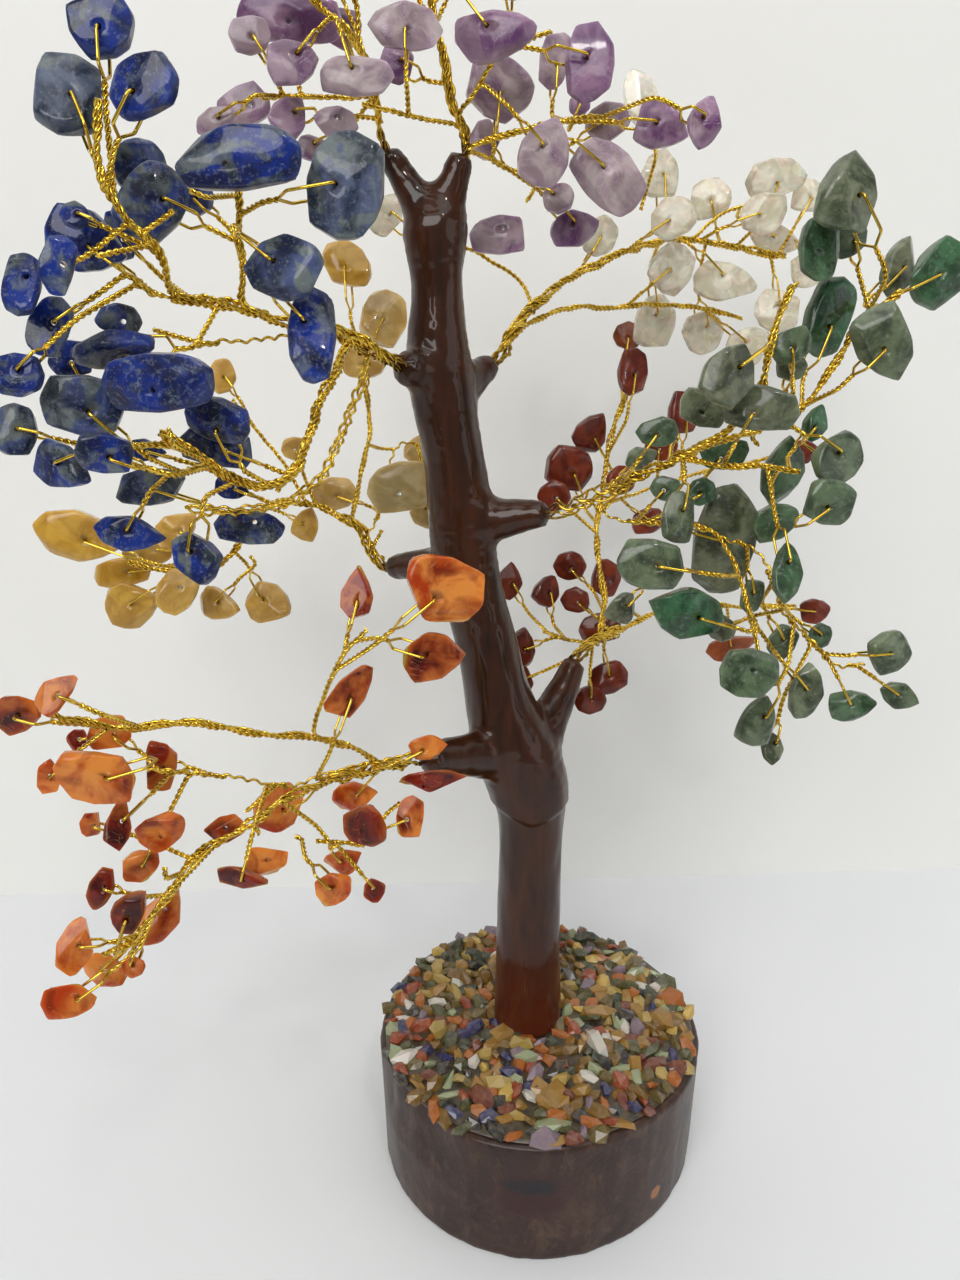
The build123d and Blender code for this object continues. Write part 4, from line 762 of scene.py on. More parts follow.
# The wires of each branch: what each starts from (the stub, or its parent's tip or side), its
# parent's number, its share of the stem width, and the pixels and nearness of its bends
wire_shares = {
    "lapis": (
        ("stub", 0, 1.7, ((385, 354, 0.10), (345, 333, 0.15), (312, 328, 0.19))),
        ("tip", 0, 1.1, ((278, 327, 0.22), (246, 308, 0.26), (206, 300, 0.30), (172, 297, 0.33))),
        ("tip", 1, 0.85, ((145, 280, 0.36), (112, 264, 0.39))),
        ("side", 1, 0.7, ((243, 306, 0.262), (243, 276, 0.285), (239, 243, 0.30), (239, 205, 0.31),
                          (237, 182, 0.31))),
        ("side", 1, 0.75, ((176, 297, 0.328), (164, 260, 0.36), (141, 234, 0.385), (114, 207, 0.40),
                           (100, 172, 0.41), (97, 128, 0.42), (98, 98, 0.42))),
        ("side", 0, 0.65, ((318, 328, 0.185), (285, 342, 0.22), (238, 340, 0.26), (196, 347, 0.30))),
        ("side", 0, 1.0, ((352, 337, 0.14), (337, 372, 0.20), (319, 400, 0.235), (307, 445, 0.27),
                          (292, 478, 0.30), (254, 488, 0.325), (226, 474, 0.35), (192, 452, 0.375),
                          (160, 432, 0.395))),
        ("side", 0, 1.0, ((366, 344, 0.125), (362, 385, 0.15), (344, 425, 0.19), (326, 470, 0.235),
                          (296, 502, 0.27), (248, 512, 0.31), (214, 512, 0.34), (186, 508, 0.36))),
        ("side", 6, 0.65, ((180, 443, 0.384), (140, 448, 0.37), (98, 438, 0.36))),
        ("side", 6, 0.65, ((208, 463, 0.363), (182, 474, 0.33), (140, 470, 0.29))),
    ),
    "amethyst_left": (
        ("stub", 0, 0.85, ((381, 128, 0.01), (376, 100, 0.03), (366, 58, 0.06), (350, 34, 0.08))),
        ("tip", 0, 0.65, ((322, 10, 0.09), (300, -18, 0.09))),
        ("side", 0, 0.6, ((373, 88, 0.038), (340, 98, 0.05), (300, 96, 0.06), (262, 98, 0.06))),
        ("side", 0, 0.55, ((358, 46, 0.07), (358, 10, 0.06), (350, -30, 0.04))),
    ),
    "amethyst_right": (
        ("stub", 0, 1.0, ((458, 136, 0.01), (455, 116, 0.02), (448, 84, 0.03), (441, 48, 0.04))),
        ("tip", 0, 0.75, ((432, 12, 0.05), (427, -28, 0.055), (432, -66, 0.05))),
        ("side", 0, 0.65, ((459, 142, 0.006), (500, 136, 0.01), (542, 126, 0.0), (580, 116, -0.02),
                           (625, 122, -0.03))),
        ("side", 0, 0.6, ((454, 114, 0.021), (476, 92, 0.05), (492, 62, 0.055), (520, 46, 0.03),
                          (552, 30, 0.0))),
        ("side", 0, 0.6, ((460, 146, 0.003), (492, 160, -0.05), (532, 180, -0.09), (560, 200, -0.12))),
        ("side", 0, 0.6, ((456, 124, 0.016), (425, 118, 0.06), (395, 112, 0.08), (362, 104, 0.09))),
        ("side", 1, 0.55, ((430, 0, 0.052), (452, -20, 0.03), (482, -34, 0.0))),
    ),
    "quartz": (
        ("stub", 0, 1.45, ((503, 340, -0.10), (522, 317, -0.14), (547, 294, -0.19))),
        ("tip", 0, 1.0, ((584, 271, -0.25), (622, 252, -0.31), (662, 241, -0.37), (702, 240, -0.43),
                         (745, 250, -0.48), (785, 257, -0.52))),
        ("side", 0, 0.7, ((515, 326, -0.126), (545, 316, -0.19), (575, 306, -0.24), (615, 308, -0.30),
                          (655, 304, -0.36), (700, 308, -0.42), (742, 318, -0.46))),
        ("side", 1, 0.6, ((690, 240, -0.41), (716, 216, -0.45), (755, 202, -0.48), (790, 190, -0.50))),
        ("side", 1, 0.6, ((622, 252, -0.31), (640, 215, -0.35), (648, 180, -0.37), (640, 140, -0.38))),
        ("side", 0, 0.55, ((535, 306, -0.165), (520, 278, -0.2), (485, 256, -0.22), (430, 238, -0.22))),
    ),
    "aventurine": (
        ("stub", 0, 1.7, ((562, 513, 0.05), (590, 503, 0.065), (620, 485, 0.09), (648, 472, 0.115))),
        ("tip", 0, 1.2, ((674, 461, 0.135), (708, 443, 0.16))),
        ("tip", 1, 0.85, ((738, 421, 0.17), (761, 395, 0.18), (768, 358, 0.19), (775, 322, 0.2),
                          (792, 285, 0.21))),
        ("side", 1, 0.85, ((700, 447, 0.155), (748, 434, 0.13), (789, 418, 0.12), (818, 394, 0.115),
                           (838, 356, 0.11), (864, 318, 0.105), (902, 292, 0.1))),
        ("side", 0, 0.85, ((584, 505, 0.062), (618, 520, 0.10), (665, 524, 0.14), (712, 530, 0.165),
                           (754, 548, 0.18), (773, 582, 0.18), (784, 610, 0.18), (802, 634, 0.17),
                           (832, 664, 0.16), (866, 666, 0.15))),
        ("side", 1, 0.65, ((682, 457, 0.14), (722, 468, 0.165), (762, 464, 0.18), (800, 472, 0.185))),
        ("side", 4, 0.6, ((720, 533, 0.168), (740, 575, 0.2), (752, 620, 0.215), (757, 650, 0.22))),
        ("side", 4, 0.6, ((650, 523, 0.13), (668, 558, 0.15), (662, 590, 0.17))),
    ),
    "jasper": (
        ("stub", 0, 1.4, ((590, 647, -0.11), (606, 638, -0.15), (622, 630, -0.19))),
        ("tip", 0, 0.85, ((655, 612, -0.26), (700, 604, -0.34), (748, 606, -0.40), (795, 606, -0.46))),
        ("side", 0, 0.85, ((600, 641, -0.135), (607, 602, -0.20), (596, 556, -0.26), (598, 515, -0.31),
                           (606, 470, -0.36), (612, 430, -0.39), (627, 392, -0.41))),
        ("side", 2, 0.6, ((600, 508, -0.317), (645, 490, -0.38), (710, 470, -0.44), (770, 458, -0.50))),
        ("side", 0, 0.55, ((588, 649, -0.105), (566, 640, -0.16), (542, 632, -0.2))),
    ),
    "citrine": (
        ("stub", 0, 1.3, ((378, 548, -0.12), (360, 527, -0.15), (337, 515, -0.17))),
        ("tip", 0, 0.9, ((306, 503, -0.18), (276, 500, -0.18), (250, 516, -0.18), (238, 548, -0.18),
                         (212, 570, -0.17), (170, 572, -0.16), (128, 562, -0.14))),
        ("side", 0, 0.65, ((370, 538, -0.133), (386, 500, -0.19), (388, 464, -0.23), (400, 440, -0.26),
                           (424, 446, -0.29))),
        ("side", 0, 0.65, ((352, 522, -0.157), (362, 474, -0.22), (372, 424, -0.27), (362, 378, -0.31),
                           (358, 332, -0.34))),
        ("side", 1, 0.55, ((306, 503, -0.18), (286, 464, -0.21), (252, 424, -0.24), (232, 400, -0.26))),
        ("side", 1, 0.55, ((240, 540, -0.18), (262, 570, -0.17), (268, 585, -0.16))),
    ),
    "carnelian": (
        ("stub", 0, 1.55, ((396, 765, 0.185), (358, 772, 0.22), (330, 777, 0.25))),
        ("tip", 0, 0.85, ((297, 784, 0.29), (262, 785, 0.33), (226, 777, 0.36), (190, 772, 0.39),
                          (148, 772, 0.42))),
        ("side", 0, 0.8, ((384, 767, 0.197), (355, 749, 0.23), (318, 738, 0.26), (263, 735, 0.31),
                          (228, 727, 0.34), (196, 722, 0.37), (160, 725, 0.395), (124, 730, 0.42),
                          (84, 722, 0.45), (50, 714, 0.47))),
        ("side", 0, 0.9, ((338, 776, 0.242), (312, 794, 0.29), (282, 800, 0.325), (254, 822, 0.355),
                          (218, 842, 0.38), (192, 858, 0.40), (176, 884, 0.42), (154, 916, 0.44),
                          (130, 944, 0.46), (104, 957, 0.475))),
        ("side", 3, 0.6, ((266, 813, 0.342), (285, 834, 0.33), (316, 842, 0.315), (350, 842, 0.305),
                          (382, 852, 0.30))),
        ("side", 2, 0.6, ((314, 738, 0.263), (319, 708, 0.28), (331, 680, 0.295), (344, 650, 0.31),
                          (366, 630, 0.32))),
    ),
}


def between(a, b):
    """The angle between two directions, in radians."""
    return acos(max(-1, min(1, dot(unit(a), unit(b)))))


def bends(points):
    """The points without those in line, and the radius of each bend."""
    kept = [points[0]]
    radii = []
    for here, following in zip(points[1:-1], points[2:]):
        turn = between(minus(here, kept[-1]), minus(following, here))
        if turn < radians(straight_degrees):
            continue
        run = min(size(minus(here, kept[-1])), size(minus(following, here)))
        kept.append(here)
        radii.append(bend_room_share * run / tan(turn / 2))
    return kept + [points[-1]], radii


def traced(points, pitch, widest=None):
    """Places and directions along the rounded line, about one pitch apart."""
    corners, radii = bends(points)
    if widest:
        radii = [min(radius, widest) for radius in radii]
    line = [corners[0]]
    for before, corner, after, radius in zip(corners, corners[1:], corners[2:], radii):
        ahead, onward = unit(minus(corner, before)), unit(minus(after, corner))
        turn = between(ahead, onward)
        start = plus(corner, ahead, -radius * tan(turn / 2))
        side = unit(minus(onward, scaled(ahead, dot(ahead, onward))))
        middle = plus(start, side, radius)
        steps = max(1, round(radius * turn / pitch))
        for step in range(steps + 1):
            angle = turn * step / steps
            arm = plus(scaled(side, -radius * cos(angle)), ahead, radius * sin(angle))
            line.append(plus(middle, arm))
    line.append(corners[-1])
    places = []
    for here, following in zip(line, line[1:]):
        run = size(minus(following, here))
        if run < pitch * least_run_share:
            continue
        heading = unit(minus(following, here))
        steps = max(1, round(run / pitch))
        places += [(plus(here, heading, run * step / steps), heading) for step in range(steps)]
    places.append((line[-1], places[-1][1]))
    return places


def traced_places(points, pitch, widest=None):
    return [place for place, heading in traced(points, pitch, widest)]


# Directions spread evenly all round, the second half of them opposite to the first
half_looks = []
for number in range(look_count):
    height = (number + 0.5) / look_count
    flat = sqrt(1 - height * height)
    turn = number * pi * (3 - sqrt(5))
    half_looks.append((flat * cos(turn), flat * sin(turn), height))
looks = np.array(half_looks + [scaled(direction, -1) for direction in half_looks])


class Room:
    """How far the tree's pieces reach all round, lump by lump, so that none is laid into another."""

    def __init__(self, most):
        self.count = 0
        self.middles = np.zeros((most, 3))
        self.reaches = np.zeros(most)
        self.extents = np.zeros((most, len(looks)))
        self.owners = np.empty(most, object)

    def lump(self, points, radius):
        """A rounded convex body that spans some points."""
        points = np.array(points)
        middle = points.sum(0) / len(points)
        reach = np.sqrt(((points - middle) ** 2).sum(1)).max() + radius
        return middle, reach, (points @ looks.T).max(0) + radius

    def wire_lumps(self, places, radius):
        return [self.lump((a[0], b[0]), radius) for a, b in zip(places, places[1:])]

    def fill(self, lumps, owner):
        for middle, reach, extents in lumps:
            self.middles[self.count] = middle
            self.reaches[self.count] = reach
            self.extents[self.count] = extents
            self.owners[self.count] = owner
            self.count += 1

    def near(self, place, reach):
        """Which of the lumps may come within reach of a place."""
        away = self.middles[:self.count] - np.array(place)
        return np.sqrt((away ** 2).sum(1)) < self.reaches[:self.count] + reach

    def clear(self, lumps, clearance, among=None, skip=None):
        """Whether the lumps keep their clearance from all that is there, or from a part of it."""
        for middle, reach, mine in lumps:
            others = self.near(middle, reach + clearance)
            if among is not None:
                others &= among
            if skip:
                others &= self.owners[:self.count] != skip
            gaps = -mine - np.roll(self.extents[:self.count][others], look_count, 1)
            if not (gaps >= clearance).any(1).all():
                return False
        return True


room = Room(most_lumps)
for (lower, lower_share), (upper, upper_share) in zip(trunk_line, trunk_line[1:]):
    room.fill([room.lump((lower, upper), max(lower_share, upper_share) * trunk_width / 2)], "trunk")
for root, tip, root_share, tip_share in stub_line.values():
    halfway = plus(root, minus(tip, root), 0.5)
    room.fill([room.lump((root, halfway), root_share * stub_width / 2)], "trunk")
    room.fill([room.lump((halfway, tip), (root_share + tip_share) * stub_width / 4)], "trunk")

# Lay the wires: each starts on its stub or parent, and is drawn from within what it springs from
wire_runs, stations, drawn_lines = {}, {}, {}
for branch, rows in wire_shares.items():
    root, tip, root_share, tip_share = stub_line[branch]
    runs, places, lines = [], [], []
    continued = set()
    for start, parent, share, bend_pixels in rows:
        radius = share * stem_width / 2
        route = [picture_point(*pixels) for pixels in bend_pixels]
        if start == "stub":
            heading = unit(minus(tip, root))
            lead = [tip, plus(tip, heading, radius * wire_lead_share)]
            inner = [plus(tip, heading, -inner_steps * station_pitch)]
        elif start == "tip":
            continued.add(parent)
            end, heading = places[parent][-1]
            lead = [end, plus(end, heading, radius * wire_lead_share)]
            inner = [places[parent][-1 - inner_steps][0]]
        else:
            seat, along = min(places[parent], key=lambda place: size(minus(place[0], route[0])))
            away = unit(minus(route[1], seat))
            lean = between(along, away)
            lean = min(lean, pi - lean)
            parent_radius = rows[parent][2] * stem_width / 2
            lead = [plus(seat, away, (parent_radius + root_clearance + radius * cos(lean)) / sin(lean))]
            route = route[1:]
            inner = [plus(seat, along, -inner_steps * station_pitch), seat]
        spacing = radius * bend_spacing_share
        route = lead + [place for place in route if size(minus(place, lead[-1])) > spacing]
        runs.append((route, radius))
        places.append(traced(route, station_pitch))
        lines.append(inner + (route[1:] if start == "side" else route))
    wire_runs[branch] = runs
    stations[branch] = (places, continued)
    drawn_lines[branch] = lines
    for number, (route, radius) in enumerate(runs):
        room.fill(room.wire_lumps(traced(route, trace_pitch), radius), f"{branch} wire {number}")

# What a drawn line is given all along, or at each of its places: the number of pairs and of wires
# in each, how far the pairs spread, the lay of a pair, how far it strays, and the lacquer on it
line_values = {"pairs": 1, "plies": 2, "spread": 0, "lay": stem_ply_lay, "sway": 0, "lacquer": 0}
line_measures = {"spread": mm, "lay": mm, "sway": mm}


def line_mesh(name, lines):
    """Bare lines for the wire tree, from the places and values of each."""
    mesh = bpy.data.meshes.new(name)
    points, edges = [], []
    columns = {key: [] for key in line_values}
    for places, values in lines:
        first, count = len(points), len(places)
        points += [scaled(place, mm) for place in places]
        edges += [(first + i, first + i + 1) for i in range(count - 1)]
        for key, plain in line_values.items():
            value = values.get(key, plain)
            value = value if isinstance(value, list) else [value] * count
            columns[key] += [number * line_measures.get(key, 1) for number in value]
    mesh.from_pydata(points, edges, [])
    for key, column in columns.items():
        attribute = mesh.attributes.new(key, "FLOAT", "POINT")
        attribute.data.foreach_set("value", np.array(column, np.float32))
    return mesh


def coiled(line, angle, radius):
    """The line's points moved onto a coil round it, at an angle and a radius."""
    normal = add(wire_tree, "GeometryNodeInputNormal")
    side = reckon_places(wire_tree, "CROSS_PRODUCT", add(wire_tree, "GeometryNodeInputTangent"), normal)
    part = reckon_places(wire_tree, "SCALE", normal, Scale=reckon(wire_tree, "COSINE", angle))
    rest = reckon_places(wire_tree, "SCALE", side, Scale=reckon(wire_tree, "SINE", angle))
    arm = reckon_places(wire_tree, "SCALE", reckon_places(wire_tree, "ADD", part, rest), Scale=radius)
    return add(wire_tree, "GeometryNodeSetPosition", Geometry=line, Offset=arm)


def copied_lines(line, label):
    """As many copies of each line as it has pairs or plies."""
    return add(wire_tree, "GeometryNodeDuplicateElements", {"domain": "SPLINE"}, Geometry=line, Amount=read(label))


def read(label):
    return add(wire_tree, "GeometryNodeInputNamedAttribute", {"data_type": "FLOAT"}, Name=label)


def sum_of(*terms):
    """The sum of products, each of two numbers or nodes."""
    total = 0.0
    for a, b in terms:
        total = reckon(wire_tree, "MULTIPLY_ADD", a, b, total)
    return total


wire_tree, given = geometry_tree("twisted_wire", ("Strand Radius", "Float"), ("Ply Radius", "Float"),
                                 ("Stem Lay", "Float"), ("Step", "Float"), ("Metal", "Material"))
line = add(wire_tree, "GeometryNodeMeshToCurve", Mesh=given["Geometry"])
line = add(wire_tree, "GeometryNodeResampleCurve", {"mode": "LENGTH"}, Curve=line, Length=given["Step"])
where = add(wire_tree, "GeometryNodeInputPosition")
bent = add(wire_tree, "ShaderNodeTexNoise", Vector=where, Scale=190, Detail=1)
swerve = reckon_places(wire_tree, "SUBTRACT", bent.outputs["Color"], (0.5, 0.5, 0.5))
swerve = reckon_places(wire_tree, "SCALE", swerve, Scale=read("sway"))
line = add(wire_tree, "GeometryNodeSetPosition", Geometry=line, Offset=swerve)
copied = copied_lines(line, "pairs")
number = copied.outputs["Duplicate Index"]
run = add(wire_tree, "GeometryNodeSplineParameter").outputs["Length"]
turns = reckon(wire_tree, "DIVIDE", run, given["Stem Lay"])
phase = reckon(wire_tree, "DIVIDE", number, read("pairs"))
stray = add(wire_tree, "ShaderNodeTexNoise", {"noise_dimensions": "4D"}, Vector=where, W=number, Scale=120, Detail=1)
loose = add(wire_tree, "ShaderNodeTexNoise", {"noise_dimensions": "4D"}, Vector=where, Scale=330, Detail=1,
            W=reckon(wire_tree, "ADD", number, loose_seed))
wander = spread_over(wire_tree, loose, 0.3, 0.7, least_wander, most_wander)
spread = reckon(wire_tree, "MULTIPLY", read("spread"), wander)
line = coiled(copied, sum_of((turns, tau), (phase, tau), (stray, stray_turn)), spread)
copied = copied_lines(line, "plies")
turns = reckon(wire_tree, "DIVIDE", run, read("lay"))
doubled = reckon(wire_tree, "SUBTRACT", read("plies"), 1.0)
spread = reckon(wire_tree, "MULTIPLY", doubled, given["Ply Radius"])
line = coiled(copied, sum_of((turns, tau), (copied.outputs["Duplicate Index"], pi)), spread)
ring = add(wire_tree, "GeometryNodeCurvePrimitiveCircle", Resolution=strand_sides, Radius=given["Strand Radius"])
strands = add(wire_tree, "GeometryNodeCurveToMesh", Curve=line, i1=ring, Fill_Caps=True)
strands = add(wire_tree, "GeometryNodeRealizeInstances", Geometry=strands)
strands = add(wire_tree, "GeometryNodeSetMaterial", Geometry=strands, Material=given["Metal"])
add(wire_tree, "NodeGroupOutput", Geometry=strands)


def twisted(name, lines, step=strand_step):
    """The wires of some lines as a plain mesh."""
    mesh = grown_mesh(name, line_mesh(name, lines), wire_tree, Strand_Radius=strand_radius * mm,
                      Ply_Radius=ply_radius * mm, Stem_Lay=stem_lay * mm, Step=step * mm, Metal=gold)
    mesh.shade_smooth()
    return mesh


core_route = [plus(foot_place, (0, 0, 1), core_foot_rise - peg_depth)] + [place for place, share in trunk_line]
core_runs = [(core_route, core_pairs, core_spread)]
core_runs += [(line[:2], arm_pairs, arm_spread) for line in stub_line.values()]
lines = [(traced_places(route, drawn_pitch), {"pairs": pairs, "spread": spread, "lay": bundle_ply_lay})
         for route, pairs, spread in core_runs]
finish_piece(twisted("gathered_wires", lines, hidden_step), "gathered_wires", gold, ["trunk_core"])

for branch, rows in wire_shares.items():
    lines = []
    for (start, parent, share, bend_pixels), route in zip(rows, drawn_lines[branch]):
        places = traced_places(route, drawn_pitch)
        pairs = max(1, round(share * pairs_by_share - pairs_less))
        spread = max(least_spread, share * spread_by_share - spread_less) if pairs > 1 else 0
        gathered = [spread * min(1, end_spread_share + (1 - end_spread_share) * left * drawn_pitch / station_pitch)
                    for left in reversed(range(len(places)))]
        values = {"pairs": pairs, "spread": gathered, "sway": stem_sway}
        if start == "stub":
            values["lay"] = bundle_ply_lay
            values["lacquer"] = [max(0, min(1, 2 - 2 * i * drawn_pitch / (dipped_length + dip_fade)))
                                 for i in range(len(places))]
        lines.append((places, values))
    name = f"{branch}_stem_wires"
    finish_piece(twisted(name, lines), name, gold, [f"{branch}_bundle", f"{branch}_stems"])


# The drilled chips and their twigs
# Each chip is a tumbled piece of stone, drilled through near one end. A wire doubled through the
# hole lies along both faces to the edge, and is twisted on itself from there into the chip's twig.
wire_width = 0.56
twig_width = 1.05
twig_lead = 1.3
twig_bend_share = 0.35
least_twig_share = 1.2
least_bend_share = 0.62
twig_ply_lay = 1.8
twig_sway = 0.15
hole_width = 1.2
bore_share = 0.56
bore_rise_share = 0.8
chip_thickness_share = 0.45
knot_rise_share = 0.55
hole_place_share = 0.22
loop_clearance = 0.16
chip_clearance = 0.3
seat_clearance = 0.08
swing_degrees = 15.0
swing_steps = (-1, -0.5, 0, 0.5, 1)
sway_degrees = 16.0
sway_step = 2.4
edge_spread_degrees = 40.0
edge_room_share = 1.04
edge_steps = 4
face_share = 0.8
face_skin_share = 0.04
slip_step = 1.2
slip_steps = 18
# The sizes that are tried for a chip, and how long its twig may be
chip_tries = ((1, 15.0), (1, 26.0), (0.85, 15.0), (0.7, 26.0))
tip_lean_degrees = 75
least_lean_degrees = 28
easy_lean_degrees = 80
most_lean_degrees = 125
steepest_lean_degrees = 20
crowd_share = 3
thick_share = 2
most_choices = 12
chip_around = 48
fine_around = 720
face_rings = 11
edge_round_degrees = 14
outline_wear = 0.05
least_cut_share = 0.25
rock_reach = 300
stone_seed = 11
# Each kind of cut: how many degrees it may face up or down, and its share of the whole depth
cut_kinds = (((72, 84), 1.0), ((0, 14), 0.42), ((30, 58), 0.7), ((0, 14), 0.42), ((66, 82), 1.0))
# Two sizes of dent: their share of the stone's dent, their fineness and their seed
dents = ((1, 0.42, 0), (0.4, 1.1, 5))
form_shares = {
    "pebble": (1.0, 0.98, 1.0, 0.98, 1.0, 0.96, 1.0, 0.98),
    "block": (0.98, 1.14, 0.96, 1.1, 1.0, 1.12, 0.97, 1.08),
    "slab": (1.0, 1.14, 1.0, 1.08, 0.98, 1.14, 0.97, 1.12),
    "wedge": (1.04, 0.82, 0.9, 1.12, 0.96, 1.14, 0.92, 0.8),
    "leaf": (1.08, 0.84, 0.92, 0.94, 1.02, 0.88, 0.95, 0.8),
    "shard": (1.12, 0.72, 0.8, 1.0, 1.0, 1.08, 0.82, 0.68),
}


def cross(a, b):
    return (a[1] * b[2] - a[2] * b[1], a[2] * b[0] - a[0] * b[2], a[0] * b[1] - a[1] * b[0])


class Chip:
    """A drilled chip on its wire: a middle, long, cross and hole directions, and sizes."""

    def __init__(self, row, number, scale, slip, shrink, swings):
        x, y, long_pixels, short_pixels, turn, near, lean, form, tone = row
        place = picture_point(x, y, near)
        self.middle = plus(place, unit(minus(place, eye)), slip)
        self.length = long_pixels * scale * shrink
        self.width = short_pixels * scale * shrink
        self.thickness = self.width * chip_thickness_share
        self.form = form_shares[form]
        self.tone = tone
        self.swings = swings
        sway = radians(sway_degrees * sin(number * sway_step))
        turn, lean = radians(turn), radians(lean)
        self.long = plus(scaled(right, cos(turn)), up, sin(turn))
        side = plus(scaled(right, -sin(turn)), up, cos(turn))
        hole = plus(scaled(side, -sin(lean)), toward, cos(lean))
        self.hole = unit(plus(scaled(hole, cos(sway)), self.long, sin(sway)))
        self.long = unit(minus(self.long, scaled(self.hole, dot(self.hole, self.long))))
        self.cross = cross(self.hole, self.long)

    def rim(self):
        """The outline's points in the chip's own plane."""
        angles = [tau * corner / len(self.form) for corner in range(len(self.form))]
        return [(self.length / 2 * share * cos(angle), self.width / 2 * share * sin(angle))
                for angle, share in zip(angles, self.form)]

    def at(self, a, b, c):
        """The place that lies a along the chip, b across it and c above its middle."""
        return plus(plus(plus(self.middle, self.long, a), self.cross, b), self.hole, c)

    def from_hole(self, along, above):
        """A place so far from the hole toward the twig, and so far above the chip's middle."""
        return self.at(self.hole_at[0] + along * self.out[0], self.hole_at[1] + along * self.out[1], above)

    def face(self, root):
        """Set the hole and the loop toward the twig's root."""
        away = minus(root, self.middle)
        angle = atan2(dot(away, self.cross), dot(away, self.long))
        self.out = (cos(angle), sin(angle))
        rim = self.rim()
        edge = max(a * self.out[0] + b * self.out[1] for a, b in rim)
        self.hole_at = (edge * hole_place_share * self.out[0], edge * hole_place_share * self.out[1])
        self.sweep = radians(swing_degrees) if self.swings else 0
        spread = self.sweep + radians(edge_spread_degrees)
        reach = 0
        for (a, b), (c, d) in zip(rim, rim[1:] + rim[:1]):
            for step in range(edge_steps):
                p = a + (c - a) * step / edge_steps - self.hole_at[0]
                q = b + (d - b) * step / edge_steps - self.hole_at[1]
                across, along = q * self.out[0] - p * self.out[1], p * self.out[0] + q * self.out[1]
                if abs(atan2(across, along)) < spread:
                    reach = max(reach, sqrt(p * p + q * q))
        self.reach = reach * edge_room_share + loop_clearance
        self.rise = self.thickness / 2 + loop_clearance + wire_width / 2
        self.knot = self.from_hole(self.reach + self.rise * knot_rise_share, 0)

    def lumps(self):
        """The stone over its whole swing, and the loop of wire through it."""
        points = []
        for step in (swing_steps if self.swings else (0,)):
            angle = step * self.sweep
            for a, b in self.rim():
                p, q = a - self.hole_at[0], b - self.hole_at[1]
                a = self.hole_at[0] + p * cos(angle) - q * sin(angle)
                b = self.hole_at[1] + p * sin(angle) + q * cos(angle)
                points += [self.at(a, b, 0), self.at(a * face_share, b * face_share, self.thickness / 2)]
                points += [self.at(a * face_share, b * face_share, -self.thickness / 2)]
        loop = [self.from_hole(0, self.rise), self.from_hole(0, -self.rise), self.knot]
        loop += [self.from_hole(self.reach, self.rise), self.from_hole(self.reach, -self.rise)]
        return [room.lump(points, self.thickness * face_skin_share), room.lump(loop, wire_width / 2)]


class Seats:
    """The places on a branch's wires where a twig may spring from."""

    def __init__(self, branch):
        places, continued = stations[branch]
        self.names = [(wire, index) for wire, line in enumerate(places) for index in range(2, len(line))]
        self.places = np.array([places[wire][index][0] for wire, index in self.names])
        self.headings = np.array([places[wire][index][1] for wire, index in self.names])
        self.radii = np.array([wire_runs[branch][wire][1] for wire, index in self.names])
        self.last = np.array([index == len(places[wire]) - 1 for wire, index in self.names])
        self.barred = self.last & np.array([wire in continued for wire, index in self.names])
        self.crowd = np.zeros(len(self.names))

    def choices(self, target):
        """Places where a twig to the target could leave the wires, the best first."""
        away = np.array(target) - self.places
        distance = np.sqrt((away ** 2).sum(1))
        lean = np.arccos(np.clip((away * self.headings).sum(1) / distance, -1, 1))
        beside = (lean > radians(least_lean_degrees)) & (lean < radians(most_lean_degrees))
        beyond = ~self.barred & (lean <= radians(tip_lean_degrees)) & (self.crowd == 0)
        cost = distance + crowd_share * self.crowd * station_pitch + self.radii * thick_share
        cost += np.where(lean < radians(easy_lean_degrees), 0, station_pitch)
        cost -= np.where(self.last, crowd_share * station_pitch, 0)
        fits = np.where(self.last, beyond, beside)
        order = np.argsort(cost, kind="stable")
        return [(cost[i], i) for i in order[fits[order]][:most_choices]]


def twig_route(chip, seat, along, last, stem_radius):
    """The twig's bends, from beside or beyond its stem to the knot at the chip's edge."""
    radius = twig_width / 2
    if last:
        start = plus(seat, along, seat_clearance)
        route = [start, plus(start, along, twig_lead)]
    else:
        away = unit(minus(chip.knot, seat))
        lean = between(along, away)
        lean = max(min(lean, pi - lean), radians(steepest_lean_degrees))
        route = [plus(seat, away, (stem_radius + root_clearance + radius * cos(lean)) / sin(lean))]
    span = size(minus(chip.knot, route[-1]))
    approach = unit(minus(chip.knot, chip.from_hole(0, 0)))
    route += [plus(chip.knot, approach, twig_bend_share * span), chip.knot]
    turns = [between(minus(b, a), minus(c, b)) for a, b, c in zip(route, route[1:], route[2:])]
    corners, radii = bends(route)
    ahead = dot(minus(chip.knot, route[0]), minus(chip.knot, seat)) > 0
    fits = ahead and span > least_twig_share * twig_width and max(turns) < radians(tip_lean_degrees)
    return route if fits and (not radii or min(radii) > least_bend_share * twig_width) else None


def tried_chips(row, number, scale, swings):
    """A chip at its own place, then behind or before it, then smaller, with its longest twig."""
    slips = [0]
    for step in range(1, slip_steps + 1):
        slips += [slip_step * step, -slip_step * step]
    for shrink, longest in chip_tries:
        for slip in slips:
            yield Chip(row, number, scale, slip, shrink, swings), longest


